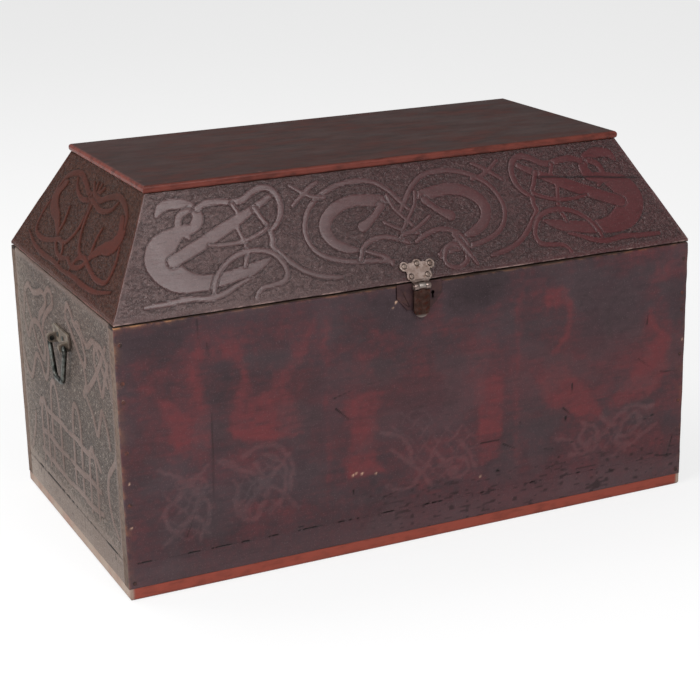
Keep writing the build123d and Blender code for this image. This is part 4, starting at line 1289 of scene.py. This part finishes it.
# The material of each board of the script, and the material and the eased edge of each CAD
# piece. The first start of a name that fits counts.
BOARD_WOODS = [("carved_front", "front_wood"), ("carved_left", "end_wood"),
               ("carved_right", "end_wood"), ("carved_lid_front", "lid_wood"),
               ("carved_lid", "lid_end_wood"), ("planed_lid", "lid_wood"),
               ("planed_back", "back_wood")]
FINISHES = [("hasp_tongue", "tongue_steel", 0.4), ("hasp_screws", "screw_steel", 0.0),
            ("hasp", "hasp_steel", 0.6), ("left_handle_strap", "strap_iron", 0.5),
            ("right_handle_strap", "strap_iron", 0.5), ("left_handle", "handle_iron", 0.5),
            ("right_handle", "handle_iron", 0.5), ("hinge", "hinge_iron", 0.5),
            ("lock_plate", "plate_iron", 0.3), ("lock_pins", "plate_iron", 0.0),
            ("lock", "lock_steel", 0.3), ("lid_top_board", "top_wood", 0.0),
            ("base_board", "base_wood", 0.0)]


def finish_boards():
    """Materials for the boards that this script makes."""
    for piece in list(bpy.data.objects):
        for start, wood in BOARD_WOODS:
            if piece.name.startswith(start):
                set_board_materials(piece, looks[wood])
                break


def finish_cad_pieces():
    """Materials and eased edges for the pieces that keep their CAD shape."""
    for node in frame["nodes"]:
        piece = frame["nodes"][node]
        if node.endswith("nails"):
            set_material(piece, looks["nail_iron"])
            continue
        for start, look, ease in FINISHES:
            if node.startswith(start):
                set_material(piece, looks[look])
                if ease:
                    ease_edges(piece, ease)
                break


long_boards()
end_boards()
lid_boards()

looks = {}
for make, table in ((stained_wood, STAINED_WOODS), (plain_wood, PLAIN_WOODS), (metal, METALS)):
    for name, numbers in table.items():
        looks[name] = make(name, *numbers)
# The hasp's barrel: polished, with a painted highlight along it
bright_ends(looks["hasp_steel"], 2 * rim_z, rim_z + 1, (132, 116, 110))
# Painted shade round the hasp's screws
screw_shade_rings(looks["hasp_steel"], screw_centres("hasp_screws"), 3.4, 4.6)
# The tongue's top at the barrel and its tip: polished, the top with a painted highlight
bright_ends(looks["tongue_steel"], hasp_high[2] + 4, tip_low + 1, (150, 140, 134))
finish_boards()
finish_cad_pieces()


# Camera, as the chest is photographed

CAMERA_AZIMUTH = -25.04
CAMERA_ELEVATION = 17.89
CAMERA_ROLL = -1.18
CAMERA_PLACE = (-1098.6, -2360.0, 1059.6)
CAMERA_LENS = 91.07


def add_camera():
    """A camera at the photo's place and angle."""
    azimuth, elevation, roll = [math.radians(a)
                                for a in (CAMERA_AZIMUTH, CAMERA_ELEVATION, CAMERA_ROLL)]
    back = Vector((math.sin(azimuth) * math.cos(elevation),
                   -math.cos(azimuth) * math.cos(elevation), math.sin(elevation)))
    right = Vector((math.cos(azimuth), math.sin(azimuth), 0))
    up = back.cross(right)
    right, up = (right * math.cos(roll) + up * math.sin(roll),
                 up * math.cos(roll) - right * math.sin(roll))
    camera = bpy.data.objects.new("camera", bpy.data.cameras.new("camera"))
    camera.data.lens = CAMERA_LENS
    camera.data.sensor_width = 36.0
    turn = Matrix((right, up, back)).transposed().to_4x4()
    camera.matrix_world = Matrix.Translation(Vector(CAMERA_PLACE) * MM) @ turn
    bpy.context.scene.collection.objects.link(camera)
    bpy.context.scene.camera = camera


# Floor, lamps and background, in metres

FLOOR_REACH = 30.0
FLOOR_COLOUR = (0.86, 0.86, 0.86, 1)
FLOOR_GLOW = 0.72       # share of plain white that the camera sees in the floor
WORLD_LIGHT = 0.32      # strength of the world for everything but the camera


def add_floor():
    """A pale floor that looks nearly white and keeps the chest's shadow."""
    mesh = bpy.data.meshes.new("floor")
    far = FLOOR_REACH
    mesh.from_pydata([(-far, -far, 0), (far, -far, 0), (far, far, 0), (-far, far, 0)], [],
                     [(0, 1, 2, 3)])
    floor = bpy.data.objects.new("floor", mesh)
    bpy.context.scene.collection.objects.link(floor)
    s = Shader("floor")
    s.surface.inputs["Base Color"].default_value = FLOOR_COLOUR
    s.surface.inputs["Roughness"].default_value = 0.9
    glow = s.add("ShaderNodeEmission", {"Strength": 1.0})
    camera_ray = s.add("ShaderNodeLightPath").outputs["Is Camera Ray"]
    mixed = s.add("ShaderNodeMixShader")
    for k, source in enumerate((s.times(camera_ray, FLOOR_GLOW), s.surface.outputs[0],
                                glow.outputs[0])):
        s.feed(mixed.inputs[k], source)
    s.feed(s.tree.nodes["Material Output"].inputs["Surface"], mixed.outputs[0])
    set_material(floor, s)


def add_lamp(name, place, size, power, aim=(0, 0, 0.28)):
    """A soft rectangular lamp that looks at the chest."""
    data = bpy.data.lights.new(name, "AREA")
    data.shape = "RECTANGLE"
    data.size, data.size_y = size
    data.energy = power
    lamp = bpy.data.objects.new(name, data)
    lamp.location = place
    lamp.rotation_euler = (Vector(aim) - Vector(place)).to_track_quat("-Z", "Y").to_euler()
    bpy.context.scene.collection.objects.link(lamp)


def add_world():
    """A world that is white for the camera and dimmer as a light."""
    world = bpy.data.worlds.new("world")
    bpy.context.scene.world = world
    world.use_nodes = True
    nodes, links = world.node_tree.nodes, world.node_tree.links
    shade = nodes["Background"]
    shade.inputs["Color"].default_value = (1, 1, 1, 1)
    path = nodes.new("ShaderNodeLightPath")
    strength = nodes.new("ShaderNodeMapRange")
    strength.inputs["To Min"].default_value = WORLD_LIGHT
    strength.inputs["To Max"].default_value = 1.0
    links.new(path.outputs["Is Camera Ray"], strength.inputs["Value"])
    links.new(strength.outputs["Result"], shade.inputs["Strength"])


add_camera()
add_floor()
add_lamp("left_window", (-3.2, -1.0, 2.0), (2.4, 2.2), 110)
add_lamp("front_soft", (0.3, -3.2, 3.0), (1.8, 1.6), 80)
add_lamp("top_back", (-1.2, 1.6, 3.4), (2.6, 1.6), 60)
add_world()
bpy.context.scene.view_settings.view_transform = "Standard"
